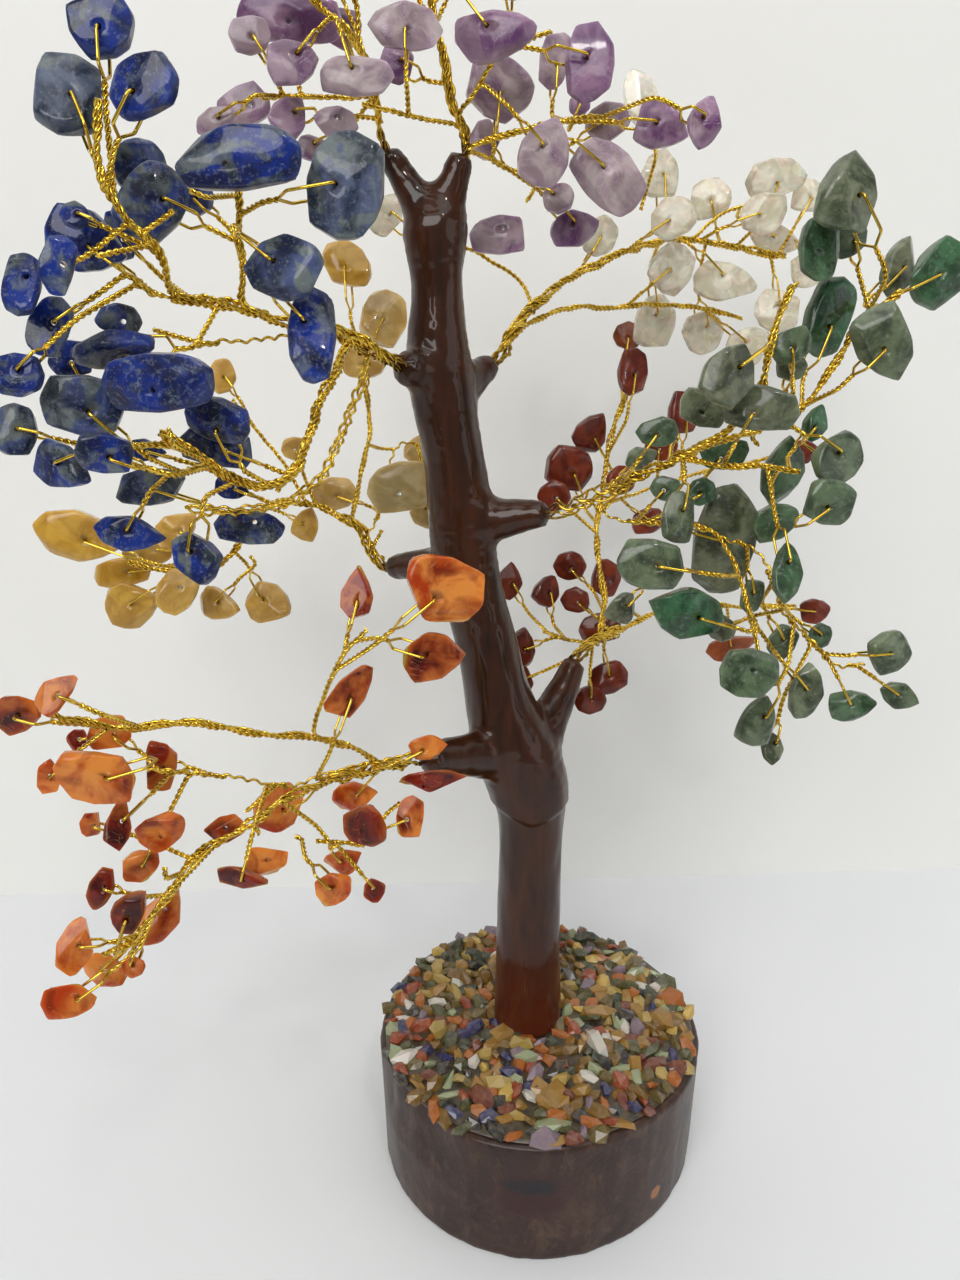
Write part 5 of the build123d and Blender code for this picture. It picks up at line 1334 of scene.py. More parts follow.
def hang(branch, row, number, scale, swings, seats):
    """Find room for a chip and its twig: the place that the picture shows, or one behind or before."""
    for chip, longest in tried_chips(row, number, scale, swings):
        others = room.near(chip.middle, chip.length * 2)
        for cost, spot in seats.choices(chip.middle):
            if cost > longest + chip.length / 2:
                break
            wire, index = seats.names[spot]
            line = stations[branch][0][wire]
            seat, along = line[index]
            chip.face(seat)
            lumps = chip.lumps()
            if not room.clear(lumps, chip_clearance, others):
                continue
            last = index == len(line) - 1
            route = twig_route(chip, seat, along, last, wire_runs[branch][wire][1])
            if route is None:
                continue
            twig = room.wire_lumps(traced(route, trace_pitch), twig_width / 2)
            if not room.clear(twig[:1], seat_clearance, skip=f"{branch} wire {wire}"):
                continue
            if not room.clear(twig[1:], seat_clearance):
                continue
            seats.crowd[spot] += 1
            room.fill(lumps + twig, f"{branch} chip {number}")
            chip.twig = [line[max(index - 1, 0)][0], seat] + (route if last else route[1:])
            return chip
    return None


def hung_chips(branch, rows, scale, loose):
    """The branch's chips by number, the largest hung first."""
    seats = Seats(branch)
    hung = {}
    for number in sorted(range(len(rows)), key=lambda n: -rows[n][2] * rows[n][3]):
        chip = hang(branch, rows[number], number, scale, number in loose, seats)
        if chip:
            hung[number] = chip
    return hung


def edged_shares(shares):
    """The shares all round of an outline that runs straight from each given share to the next."""
    corners = np.array([(share * cos(tau * i / len(shares)), share * sin(tau * i / len(shares)))
                        for i, share in enumerate(shares)])
    fine = np.arange(fine_around) * tau / fine_around
    first = (len(shares) * fine / tau).astype(int)
    a, b = corners[first], corners[(first + 1) % len(shares)]
    ways = np.stack([np.cos(fine), np.sin(fine)], 1)
    area = a[:, 0] * b[:, 1] - a[:, 1] * b[:, 0]
    straight = area / (ways[:, 0] * (b - a)[:, 1] - ways[:, 1] * (b - a)[:, 0])
    window = np.hanning(edge_round_degrees * 2 + 1)
    smooth = np.convolve(np.tile(straight, 3), window / window.sum(), "same")[fine_around:2 * fine_around]
    return smooth[::fine_around // chip_around]


def drilled_body(chip, shares, blunt):
    """The points of a blunt drilled stone in its own plane, ring by ring from the middle of the hole's
    wall over the upper face, the edge and the lower face, and how thin the stone is at each."""
    angles = np.arange(chip_around) * tau / chip_around
    circle = np.stack([np.cos(angles), np.sin(angles)], 1)
    half = np.array([chip.length, chip.width]) / 2
    rim = circle * shares[:, None] * half
    bore = np.array(chip.hole_at) + circle * hole_width / 2 * bore_share
    rings, thin = [], []
    for ring in range(face_rings + 1):
        flat = bore + (rim - bore) * (1 - (1 - ring / face_rings) ** 3)
        spot = flat / half
        edge = np.interp(np.arctan2(spot[:, 1], spot[:, 0]) % tau, angles, shares, period=tau)
        across = np.minimum(np.sqrt((spot ** 2).sum(1)) / edge, 1)
        rise = chip.thickness / 2 * (1 - across ** blunt) ** (1 / blunt)
        rings.append(np.concatenate([flat, rise[:, None]], 1))
        thin.append(across ** 4)
    bore_wall = rings[0] * (1, 1, bore_rise_share)
    lower = [ring * (1, 1, -1) for ring in rings[:-1][::-1] + [bore_wall]]
    thin = [thin[0]] + thin
    return np.concatenate([bore_wall] + rings + lower), np.concatenate(thin + thin[:-1][::-1])


def worn_stone(number, chip, blunt, cuts, depth, softness, dent):
    """A drilled stone, cut by planes of its own and worn, how thin it is, and its place in the rock."""
    rng = np.random.default_rng((stone_seed, number, round(chip.length * 100)))
    shares = edged_shares([share * (1 - rng.uniform(0, outline_wear)) for share in chip.form])
    body, thin = drilled_body(chip, shares, blunt)
    for cut in range(cuts):
        (least, most), share = cut_kinds[cut % len(cut_kinds)]
        rise = radians(rng.uniform(least, most)) * (-1) ** cut
        turn = rng.uniform(0, tau)
        normal = np.array([cos(turn) * cos(rise), sin(turn) * cos(rise), sin(rise)])
        along = body @ normal
        over = along - along.max() * (1 - rng.uniform(least_cut_share, 1) * share * depth)
        body = body - normal * (softness * np.logaddexp(0, over / softness))[:, None]
    for i, place in enumerate(body):
        body[i] = place * (1 - sum(dent * part * (1 + wavy(place, fineness, number + seed))
                                   for part, fineness, seed in dents))
    return body, thin, body + rng.uniform(-rock_reach, rock_reach, 3)


def stone_mesh(name, chips, **look_of):
    """The stones of some (number, chip) pairs, with what their material reads from each point."""
    points, faces = [], []
    columns = {"thin": [], "tone": [], "stone": []}
    for number, chip in chips:
        body, thin, rock = worn_stone(number, chip, **look_of)
        faces += band_faces(len(body) // chip_around, chip_around, closed=True, first=len(points))
        points += [chip.at(*place) for place in body]
        columns["thin"].append(thin)
        columns["tone"].append(np.full(len(body), chip.tone))
        columns["stone"].append(rock)
    mesh = make_mesh(name, points, faces)
    for key, column in columns.items():
        kind, field = ("FLOAT_VECTOR", "vector") if key == "stone" else ("FLOAT", "value")
        values = np.concatenate(column).astype(np.float32).ravel()
        mesh.attributes.new(key, kind, "POINT").data.foreach_set(field, values)
    return mesh


def twig_mesh(name, chips):
    """The twisted twigs of some chips and the loops that hold them."""
    lines = []
    for chip in chips:
        loop = [chip.knot, chip.from_hole(chip.reach, chip.rise), chip.from_hole(0, chip.rise)]
        loop += [chip.from_hole(0, -chip.rise), chip.from_hole(chip.reach, -chip.rise), chip.knot]
        loop = traced_places(loop, drawn_pitch / 4, loop_clearance + wire_width / 2)
        lines.append((traced_places(chip.twig, drawn_pitch / 2), {"lay": twig_ply_lay, "sway": twig_sway}))
        lines.append((loop, {"plies": 1, "lay": twig_ply_lay}))
    return twisted(name, lines)


def dress_branch(branch, rows, scale, loose, stone, slot, **look_of):
    """The stones and twigs of one branch, with the swinging stones on bodies of their own."""
    hung = hung_chips(branch, rows, scale, loose)
    fixed = [(number, chip) for number, chip in sorted(hung.items()) if not chip.swings]
    name = f"{branch}_stones"
    finish_piece(stone_mesh(name, fixed, **look_of), name, stone, [f"{branch}_chips"])
    for count, number in enumerate(loose):
        node = f"{branch}_swinging_chip_{count + 1}"
        mesh = stone_mesh(f"{node}_stone", [(number, hung[number])], **look_of)
        finish_piece(mesh, f"{node}_stone", stone, [node], node)
    name = f"{branch}_twig_wires"
    twigs = twig_mesh(name, [chip for number, chip in sorted(hung.items())])
    finish_piece(twigs, name, gold, [f"{branch}_twigs"])


# The pattern inside stone: soft clouds, harder patches, thin healed cracks and small flecks
pattern = bpy.data.node_groups.new("stone_pattern", "ShaderNodeTree")
for direction, labels in (("INPUT", ("Cloud Scale", "Crack Width", "Fleck Scale")),
                          ("OUTPUT", ("Cloud", "Patch", "Crack", "Fleck", "Grain"))):
    for label in labels:
        pattern.interface.new_socket(label, in_out=direction, socket_type="NodeSocketFloat")
soft = {"interpolation_type": "SMOOTHSTEP"}
given = add(pattern, "NodeGroupInput").outputs
inside = add(pattern, "ShaderNodeAttribute", {"attribute_name": "stone"}).outputs["Vector"]
moved = reckon_places(pattern, "ADD", inside, (31.0, 17.0, 5.0))
cloud = add(pattern, "ShaderNodeTexNoise", Vector=inside, Scale=given["Cloud Scale"], Detail=4, Roughness=0.6,
            Distortion=0.6)
cloud = add(pattern, "ShaderNodeMapRange", soft, Value=cloud, i1=0.36, i2=0.64)
blot = add(pattern, "ShaderNodeTexNoise", Vector=moved, Scale=given["Cloud Scale"], Detail=2, Distortion=1.2)
patch = add(pattern, "ShaderNodeMapRange", soft, Value=blot, i1=0.44, i2=0.66)
ridge = add(pattern, "ShaderNodeTexNoise", Vector=moved, Scale=0.26, Detail=3, Distortion=1.4)
ridge = reckon(pattern, "ABSOLUTE", reckon(pattern, "SUBTRACT", ridge, 0.5))
crack = spread_over(pattern, ridge, given["Crack Width"], 0)
crack = reckon(pattern, "MULTIPLY", crack, spread_over(pattern, blot, 0.52, 0.6))
cells = add(pattern, "ShaderNodeTexVoronoi", Vector=inside, Scale=given["Fleck Scale"], Randomness=1).outputs
few = reckon(pattern, "GREATER_THAN", add(pattern, "ShaderNodeSeparateColor", Color=cells["Color"]), 0.6)
fleck = reckon(pattern, "MULTIPLY", spread_over(pattern, cells["Distance"], 0.4, 0.2), few)
grain = add(pattern, "ShaderNodeTexNoise", Vector=inside, Scale=1.5, Detail=5, Roughness=0.6)
add(pattern, "NodeGroupOutput", Cloud=cloud, Patch=patch, Crack=crack, Fleck=fleck, Grain=grain)


def stone_material(name, cloud_scale, crack_width, fleck_scale, **sockets):
    """A stone's material, its tree and shader, and what its pattern and its chips' points say."""
    material, tree, shader = new_material(name, **sockets)
    group = add(tree, "ShaderNodeGroup", {"node_tree": pattern}, Cloud_Scale=cloud_scale, Crack_Width=crack_width,
                Fleck_Scale=fleck_scale)
    masks = {socket.name: socket for socket in group.outputs}
    # The "thin" mask is 1 at a chip's thin edge. Each stone's "thin" layer paints light there: a painted glow of light
    # coming through the thin edge.
    for label in ("tone", "thin"):
        masks[label] = add(tree, "ShaderNodeAttribute", {"attribute_name": label}).outputs["Fac"]
    return material, tree, shader, masks


def blotched(tree, masks, patch_share, least, most):
    """The share of a stone's second colour, by its chip's tone and its patches."""
    return reckon(tree, "MULTIPLY_ADD", masks["Patch"], patch_share,
                  spread_over(tree, masks["tone"], 0, 1, least, most))


def stone_colour(tree, shader, masks, share, limits, ends, layers):
    """Give a stone one clouded colour over another, as the share goes from its low to its high limit,
    and on them some layers, each with its mask, the mask's limits, the most it covers and its colour."""
    first, second = [mixed(tree, masks["Cloud"], *end) for end in ends]
    colour = mixed(tree, spread_over(tree, share, *limits), first, second)
    for mask, low, high, most, layer in layers:
        colour = mixed(tree, spread_over(tree, masks[mask], low, high, 0, most), colour, layer)
    link(tree, colour, shader.inputs["Base Color"])


# The lapis branch
# Lapis lazuli, tumbled to a soft polish: from bright blue to grey, clouded with pale calcite and
# with a few specks of pyrite. The chips are short blocks and slabs with blunt edges.
# A usual chip's length in millimetres and in pixels, then for each chip the pixels of its middle,
# its length and width in pixels, its turn, its nearness, its lean, its form and its tone
lapis_length, lapis_pixels = 10.0, 84
lapis_chips = (
    (102, 24, 64, 60, 20, 0.40, 10, "block", 0.35), (69, 95, 82, 70, 80, 0.41, 15, "block", 0.95),
    (144, 87, 70, 58, 10, 0.43, 10, "block", 0.1), (139, 167, 62, 58, 30, 0.33, 20, "block", 0.7),
    (239, 158, 137, 62, 5, 0.34, 15, "slab", 0.35), (346, 187, 110, 84, 80, 0.33, 5, "slab", 0.9),
    (153, 202, 92, 68, 55, 0.40, 20, "block", 0.65), (196, 196, 48, 44, 0, 0.30, 20, "pebble", 0.7),
    (86, 242, 88, 72, -20, 0.42, 15, "wedge", 0.15), (76, 215, 34, 28, 0, 0.33, 0, "pebble", 0.4),
    (119, 236, 55, 40, 90, 0.34, 20, "block", 0.5), (22, 284, 72, 38, 85, 0.42, 10, "slab", 0.55),
    (57, 266, 60, 34, 75, 0.36, 30, "slab", 0.4), (49, 327, 66, 42, 65, 0.40, 20, "slab", 0.25),
    (119, 320, 52, 38, 0, 0.34, 20, "pebble", 0.7), (285, 268, 94, 68, -5, 0.36, 10, "pebble", 0.8),
    (312, 334, 120, 54, 88, 0.34, 5, "slab", 0.2), (18, 375, 52, 46, 0, 0.42, 10, "block", 0.15),
    (113, 350, 94, 56, 18, 0.47, 72, "leaf", 0.45), (70, 358, 52, 42, 0, 0.36, 20, "block", 0.5),
    (158, 382, 128, 62, 4, 0.45, 20, "slab", 0.1), (15, 430, 60, 46, 90, 0.40, 10, "block", 0.8),
    (85, 405, 92, 66, -10, 0.43, 15, "block", 0.75), (60, 466, 78, 52, -25, 0.44, 15, "wedge", 0.4),
    (104, 453, 62, 42, -10, 0.33, 25, "slab", 0.3), (144, 450, 54, 30, -5, 0.43, 10, "leaf", 0.4),
    (218, 420, 80, 50, -15, 0.33, 35, "slab", 0.1), (217, 447, 90, 46, -12, 0.44, 10, "slab", 0.6),
    (150, 487, 132, 56, 5, 0.47, 5, "pebble", 0.85), (232, 487, 42, 36, -20, 0.30, 10, "wedge", 0.2),
    (128, 533, 80, 46, -10, 0.38, 15, "leaf", 0.05), (196, 558, 66, 52, -35, 0.42, 15, "block", 0.45),
    (251, 527, 90, 44, -5, 0.44, 5, "slab", 0.5),
)
lapis, tree, shader, masks = stone_material(
    "lapis", cloud_scale=0.24, crack_width=0.01, fleck_scale=1.9,
    Roughness=0.32, Coat_Weight=0.42, Coat_Roughness=0.06, Specular_IOR_Level=0.12)
lapis_ends = (
    ((0.004, 0.007, 0.042), (0.008, 0.028, 0.22)),
    ((0.012, 0.020, 0.032), (0.14, 0.165, 0.165)),
)
lapis_layers = (
    ("Crack", 0, 1, 0.35, (0.34, 0.38, 0.44)),
    ("Grain", 0.54, 0.7, 0.5, (0.19, 0.23, 0.29)),
    ("Fleck", 0.7, 1, 0.16, (0.36, 0.31, 0.18)),
    # Painted light: the thin edges are made lighter blue, a painted glow of light coming through them
    ("thin", 0.5, 1, 0.1, (0.13, 0.18, 0.28)),
)
mottled = blotched(tree, masks, patch_share=0.7, least=-0.3, most=0.62)
stone_colour(tree, shader, masks, mottled, (0.2, 0.75), lapis_ends, lapis_layers)
rough_skin(tree, shader, masks["Grain"], strength=0.2, distance=0.12)
dress_branch("lapis", lapis_chips, lapis_length / lapis_pixels, loose=(2, 5, 11), stone=lapis,
             slot="lapis_stone", blunt=4.4, cuts=15, depth=0.3, softness=0.05, dent=0.01)


# The carnelian branch
# Carnelian: glassy broken shards, hardly tumbled, from clear orange through red to near-black
# maroon, with light coming through their thin edges.
carnelian_length, carnelian_pixels = 10.0, 74
carnelian_chips = (
    (357, 594, 66, 44, 80, 0.33, 15, "shard", 0.65), (441, 590, 96, 76, -20, 0.36, 10, "block", 0.25),
    (435, 655, 82, 60, 20, 0.33, 15, "wedge", 0.6), (352, 690, 92, 46, 50, 0.34, 15, "shard", 0.5),
    (427, 747, 54, 34, 15, 0.21, 10, "leaf", 0.1), (430, 780, 94, 36, 5, 0.25, 20, "leaf", 0.95),
    (55, 694, 52, 38, 40, 0.48, 10, "shard", 0.4), (15, 712, 52, 46, 30, 0.50, 10, "block", 0.6),
    (77, 740, 32, 26, 80, 0.42, 10, "leaf", 0.9), (112, 732, 56, 44, 20, 0.40, 10, "wedge", 0.3),
    (160, 765, 66, 38, 80, 0.38, 15, "slab", 0.55), (98, 777, 88, 58, -10, 0.50, 10, "block", 0.2),
    (48, 778, 44, 28, 90, 0.44, 15, "leaf", 0.1), (92, 824, 34, 26, 80, 0.40, 10, "pebble", 0.5),
    (118, 826, 66, 34, 80, 0.43, 15, "shard", 0.6), (162, 830, 58, 50, 30, 0.46, 10, "wedge", 0.3),
    (141, 867, 44, 38, 0, 0.42, 10, "block", 0.35), (102, 885, 54, 32, 70, 0.48, 15, "shard", 0.95),
    (279, 811, 78, 64, 70, 0.40, 10, "pebble", 0), (268, 862, 52, 44, 0, 0.34, 10, "block", 0.3),
    (356, 796, 66, 42, 10, 0.17, 10, "wedge", 0.15), (223, 830, 48, 32, 20, 0.34, 10, "slab", 0.5),
    (242, 878, 74, 36, -20, 0.43, 20, "shard", 0.95), (367, 826, 60, 50, 20, 0.36, 10, "block", 0.8),
    (410, 818, 52, 34, 80, 0.28, 10, "slab", 0.45), (345, 862, 62, 34, 10, 0.34, 10, "leaf", 0.15),
    (336, 888, 50, 42, 20, 0.37, 10, "wedge", 0.15), (375, 890, 34, 28, 60, 0.32, 10, "pebble", 0.9),
    (130, 909, 62, 42, 60, 0.45, 15, "shard", 0.85), (161, 915, 78, 46, 65, 0.50, 10, "leaf", 0.25),
    (76, 944, 66, 46, 80, 0.50, 15, "shard", 0.1), (104, 970, 68, 40, -15, 0.53, 10, "leaf", 0.15),
    (72, 999, 60, 42, 0, 0.50, 10, "wedge", 0.15), (133, 966, 26, 24, 0, 0.48, 0, "pebble", 0.5),
)
carnelian, tree, shader, masks = stone_material(
    "carnelian", cloud_scale=0.17, crack_width=0.02, fleck_scale=0.9,
    Roughness=0.2, Coat_Weight=0.15, Specular_IOR_Level=0.22, Subsurface_Weight=0.4,
    Subsurface_Scale=0.0022, Subsurface_Radius=(1.0, 0.35, 0.12))
carnelian_ends = (
    ((0.36, 0.036, 0.003), (0.66, 0.245, 0.045)),
    ((0.035, 0.004, 0.003), (0.22, 0.016, 0.005)),
)
carnelian_layers = (
    ("Crack", 0, 1, 0.2, (0.85, 0.40, 0.16)),
    # Painted light: the thin edges are made bright orange, a painted glow of light coming through them, on top of the
    # shader's subsurface
    ("thin", 0.3, 1, 0.3, (0.74, 0.20, 0.02)),
)
banded = blotched(tree, masks, patch_share=0.5, least=-0.25, most=1.0)
stone_colour(tree, shader, masks, banded, (0.15, 0.85), carnelian_ends, carnelian_layers)
rough_skin(tree, shader, masks["Grain"], strength=0.2, distance=0.1)
dress_branch("carnelian", carnelian_chips, carnelian_length / carnelian_pixels, loose=(1, 7, 32), stone=carnelian,
             slot="carnelian_stone", blunt=3.4, cuts=10, depth=0.66, softness=0.02, dent=0.012)


# The aventurine branch
# Green aventurine, well rounded: grey-green to leaf green, slightly cloudy inside, with pale
# specks. These are the largest and thickest chips of the tree.
aventurine_length, aventurine_pixels = 10.0, 67
aventurine_chips = (
    (848, 191, 86, 64, 75, 0.20, 10, "wedge", 0.2), (820, 248, 72, 44, 80, 0.24, 10, "slab", 0.75),
    (850, 238, 44, 34, 70, 0.14, 10, "pebble", 0.4), (901, 266, 86, 50, 60, 0.14, 20, "leaf", 0.1),
    (940, 274, 76, 64, 50, 0.12, 10, "block", 0.85), (828, 318, 90, 54, 75, 0.19, 15, "slab", 0.9),
    (885, 344, 86, 60, -60, 0.16, 10, "wedge", 0.3), (791, 345, 42, 36, 20, 0.24, 10, "block", 0.45),
    (790, 366, 38, 34, 0, 0.12, 0, "pebble", 0.3), (729, 374, 66, 58, 60, 0.22, 10, "wedge", 0.05),
    (757, 408, 84, 46, -10, 0.08, 15, "slab", 0.15), (704, 408, 60, 42, -15, 0.08, 15, "block", 0.2),
    (659, 432, 48, 34, 0, 0.16, 10, "pebble", 0.55), (815, 424, 44, 30, 70, 0.17, 10, "leaf", 0.9),
    (838, 458, 60, 52, 40, 0.20, 10, "block", 0.4), (783, 471, 80, 54, 80, 0.25, 10, "leaf", 0.6),
    (830, 502, 56, 48, -20, 0.22, 15, "block", 0.5), (776, 521, 58, 44, 20, 0.20, 10, "wedge", 0.6),
    (724, 454, 58, 36, 0, 0.25, 15, "slab", 0.7), (640, 458, 46, 30, 20, 0.04, 10, "leaf", 0.3),
    (666, 488, 36, 30, 0, 0.17, 10, "pebble", 0.5), (702, 492, 36, 32, 40, 0.12, 10, "pebble", 0.7),
    (678, 518, 58, 38, 80, 0.21, 15, "slab", 0.3), (725, 540, 130, 72, 80, 0.28, 5, "slab", 0.15),
    (787, 572, 68, 36, 80, 0.25, 10, "leaf", 0.75), (649, 564, 74, 54, -10, 0.20, 10, "block", 0.35),
    (622, 608, 44, 36, 60, 0.15, 10, "wedge", 0.1), (686, 613, 94, 56, -15, 0.23, 10, "pebble", 0.9),
    (752, 596, 60, 36, 80, 0.12, 10, "slab", 0.4), (722, 628, 36, 32, 0, 0.14, 0, "pebble", 0.1),
    (749, 674, 64, 56, -10, 0.27, 10, "block", 0.5), (757, 720, 62, 48, 80, 0.24, 10, "wedge", 0.35),
    (772, 748, 40, 28, 80, 0.21, 10, "leaf", 0.2), (806, 691, 70, 42, 80, 0.22, 10, "leaf", 0.25),
    (782, 642, 44, 34, 60, 0.22, 10, "slab", 0.4), (820, 636, 34, 30, 0, 0.13, 0, "pebble", 0.6),
    (852, 706, 54, 40, 10, 0.20, 10, "wedge", 0.65), (890, 652, 56, 48, 20, 0.18, 10, "block", 0.35),
    (900, 696, 48, 34, -20, 0.18, 10, "leaf", 0.4),
)
aventurine, tree, shader, masks = stone_material(
    "aventurine", cloud_scale=0.26, crack_width=0.02, fleck_scale=2.2,
    Roughness=0.24, Coat_Weight=0.3, Coat_Roughness=0.08, Specular_IOR_Level=0.3,
    Subsurface_Weight=0.22, Subsurface_Scale=0.0016, Subsurface_Radius=(0.5, 0.8, 0.5))
aventurine_ends = (
    ((0.040, 0.047, 0.025), (0.165, 0.175, 0.105)),
    ((0.009, 0.040, 0.015), (0.042, 0.135, 0.058)),
)
aventurine_layers = (
    ("Patch", 0, 1, 0.35, (0.032, 0.044, 0.022)),
    ("Crack", 0, 1, 0.18, (0.33, 0.38, 0.30)),
    ("Grain", 0.55, 0.72, 0.35, (0.28, 0.33, 0.26)),
    # Painted light: the thin edges are made lighter green, a painted glow of light coming through them
    ("thin", 0.5, 1, 0.2, (0.23, 0.29, 0.17)),
)
stone_colour(tree, shader, masks, masks["tone"], (0.1, 0.9), aventurine_ends, aventurine_layers)
rough_skin(tree, shader, masks["Grain"], strength=0.2, distance=0.1)
dress_branch("aventurine", aventurine_chips, aventurine_length / aventurine_pixels, loose=(0, 4, 38), stone=aventurine,
             slot="aventurine_stone", blunt=3.2, cuts=13, depth=0.36, softness=0.07, dent=0.014)


# The two amethyst branches
# Amethyst, partly clear and partly purple in one chip, with white healed cracks inside and a satin
# polish. The two forks of the trunk's top carry these.
amethyst_length, amethyst_pixels = 10.0, 68
amethyst_right_chips = (
    (406, 27, 76, 46, 0, 0.10, 10, "pebble", 0.15), (396, 63, 42, 38, 60, 0.02, 10, "block", 0.95),
    (495, 36, 92, 50, 5, 0.08, 15, "wedge", 0.7), (499, 88, 78, 64, -30, 0.10, 10, "block", 0.3),
    (590, 63, 84, 52, 85, 0.02, 10, "slab", 1), (555, 60, 62, 36, 80, -0.06, 15, "slab", 0.45),
    (580, 104, 40, 28, 70, -0.08, 10, "leaf", 0.8), (608, 122, 54, 42, 10, 0.02, 10, "pebble", 0.2),
    (661, 126, 62, 54, -20, 0.0, 10, "wedge", 0.75), (704, 123, 60, 40, 75, -0.03, 15, "leaf", 0.6),
    (545, 152, 68, 58, 70, 0.05, 10, "wedge", 0.3), (608, 176, 92, 58, -45, 0.04, 5, "slab", 0.15),
    (485, 140, 48, 36, 80, -0.06, 10, "pebble", 0.4), (499, 235, 76, 46, 0, -0.12, 10, "block", 0.55),
    (575, 229, 64, 46, 15, -0.14, 10, "wedge", 0.65), (558, 198, 40, 36, 0, -0.08, 0, "pebble", 0.2),
    (463, -36, 62, 46, 10, 0.06, 10, "block", 0.5), (398, -42, 58, 44, 60, 0.05, 15, "wedge", 0.5),
    (510, -24, 52, 44, -30, 0.0, 10, "pebble", 0.5), (440, -96, 64, 42, 80, 0.05, 10, "slab", 0.6),
)
amethyst_left_chips = (
    (290, 18, 122, 48, -5, 0.12, 15, "slab", 0.9), (250, 35, 42, 36, 0, 0.05, 10, "block", 0.1),
    (343, 30, 46, 40, 60, 0.10, 20, "pebble", 1), (293, 63, 54, 46, 20, 0.13, 10, "wedge", 0.6),
    (355, 76, 76, 36, -5, 0.14, 10, "slab", 0.35), (245, 107, 62, 42, 25, 0.04, 20, "block", 0.6),
    (289, 116, 48, 40, 60, 0.06, 20, "wedge", 0.7), (216, 122, 48, 30, 20, 0.02, 10, "leaf", 0.4),
    (335, 122, 48, 32, -10, 0.0, 10, "pebble", 0.3), (312, 148, 34, 30, 0, 0.0, 0, "pebble", 0.5),
    (330, -28, 60, 46, 30, 0.06, 10, "block", 0.6), (276, -30, 54, 42, -20, 0.07, 20, "wedge", 0.7),
    (368, -52, 58, 42, 80, 0.02, 10, "slab", 0.5),
)
amethyst, tree, shader, masks = stone_material(
    "amethyst", cloud_scale=0.2, crack_width=0.016, fleck_scale=0.8,
    Roughness=0.22, Coat_Weight=0.15, Specular_IOR_Level=0.28, Subsurface_Weight=0.35,
    Subsurface_Scale=0.0026, Subsurface_Radius=(0.8, 0.6, 1.0))
amethyst_ends = (
    ((0.25, 0.18, 0.205), (0.45, 0.37, 0.37)),
    ((0.12, 0.045, 0.13), (0.29, 0.165, 0.26)),
)
amethyst_layers = (
    ("Crack", 0, 1, 0.25, (0.70, 0.62, 0.68)),
    # Painted light: the thin edges are made lighter, a painted glow of light coming through them
    ("thin", 0.3, 1, 0.25, (0.45, 0.33, 0.42)),
)
zoned = blotched(tree, masks, patch_share=0.45, least=-0.22, most=0.8)
stone_colour(tree, shader, masks, zoned, (0.15, 0.75), amethyst_ends, amethyst_layers)
rough_skin(tree, shader, masks["Grain"], strength=0.2, distance=0.1)
for branch, rows, loose in (("amethyst_right", amethyst_right_chips, (4, 8, 19)),
                            ("amethyst_left", amethyst_left_chips, (0, 7))):
    dress_branch(branch, rows, amethyst_length / amethyst_pixels, loose=loose, stone=amethyst,
                 slot="amethyst_stone", blunt=3.6, cuts=15, depth=0.36, softness=0.05, dent=0.014)


# The quartz branch
# Rock crystal: clear chips like crushed ice, with milky veils inside and bright broken faces.
quartz_length, quartz_pixels = 10.0, 51
quartz_chips = (
    (660, 172, 56, 46, 80, -0.40, 10, "wedge", 0.5), (640, 98, 64, 38, 80, -0.38, 15, "slab", 0.5),
    (710, 198, 48, 42, 20, -0.44, 10, "block", 0.5), (776, 178, 72, 40, 10, -0.48, 15, "slab", 0.5),
    (812, 196, 48, 38, -10, -0.51, 10, "wedge", 0.5), (764, 214, 48, 42, 0, -0.44, 10, "block", 0.5),
    (776, 240, 64, 36, -10, -0.47, 15, "leaf", 0.5), (674, 218, 48, 42, 30, -0.36, 10, "pebble", 0.5),
    (671, 269, 54, 46, 60, -0.40, 10, "block", 0.5), (725, 282, 72, 44, -10, -0.46, 10, "wedge", 0.5),
    (655, 322, 62, 46, 80, -0.36, 10, "block", 0.5), (703, 333, 54, 48, 0, -0.42, 10, "pebble", 0.5),
    (748, 346, 54, 48, 30, -0.46, 10, "wedge", 0.5), (779, 312, 58, 46, -20, -0.48, 10, "block", 0.5),
    (386, 214, 48, 36, 60, -0.22, 10, "wedge", 0.5), (812, 268, 50, 40, 20, -0.53, 10, "block", 0.5),
    (600, 236, 46, 38, 40, -0.30, 10, "pebble", 0.5),
)
quartz, tree, shader, masks = stone_material(
    "quartz", cloud_scale=0.3, crack_width=0.02, fleck_scale=0.8,
    Roughness=0.22, IOR=1.45, Coat_Weight=0.2, Subsurface_Weight=0.5,
    Subsurface_Scale=0.003)
milk = mixed(tree, masks["Cloud"], (0.84, 0.80, 0.67), (0.70, 0.65, 0.49))
link(tree, milk, shader.inputs["Base Color"])
veil = reckon(tree, "MAXIMUM", masks["Crack"], masks["Patch"])
link(tree, spread_over(tree, veil, 0, 1, 0.5, 0.2), shader.inputs["Transmission Weight"])
rough_skin(tree, shader, masks["Grain"], strength=0.3, distance=0.12)
dress_branch("quartz", quartz_chips, quartz_length / quartz_pixels, loose=(1, 15), stone=quartz,
             slot="quartz_stone", blunt=3.6, cuts=15, depth=0.4, softness=0.05, dent=0.016)


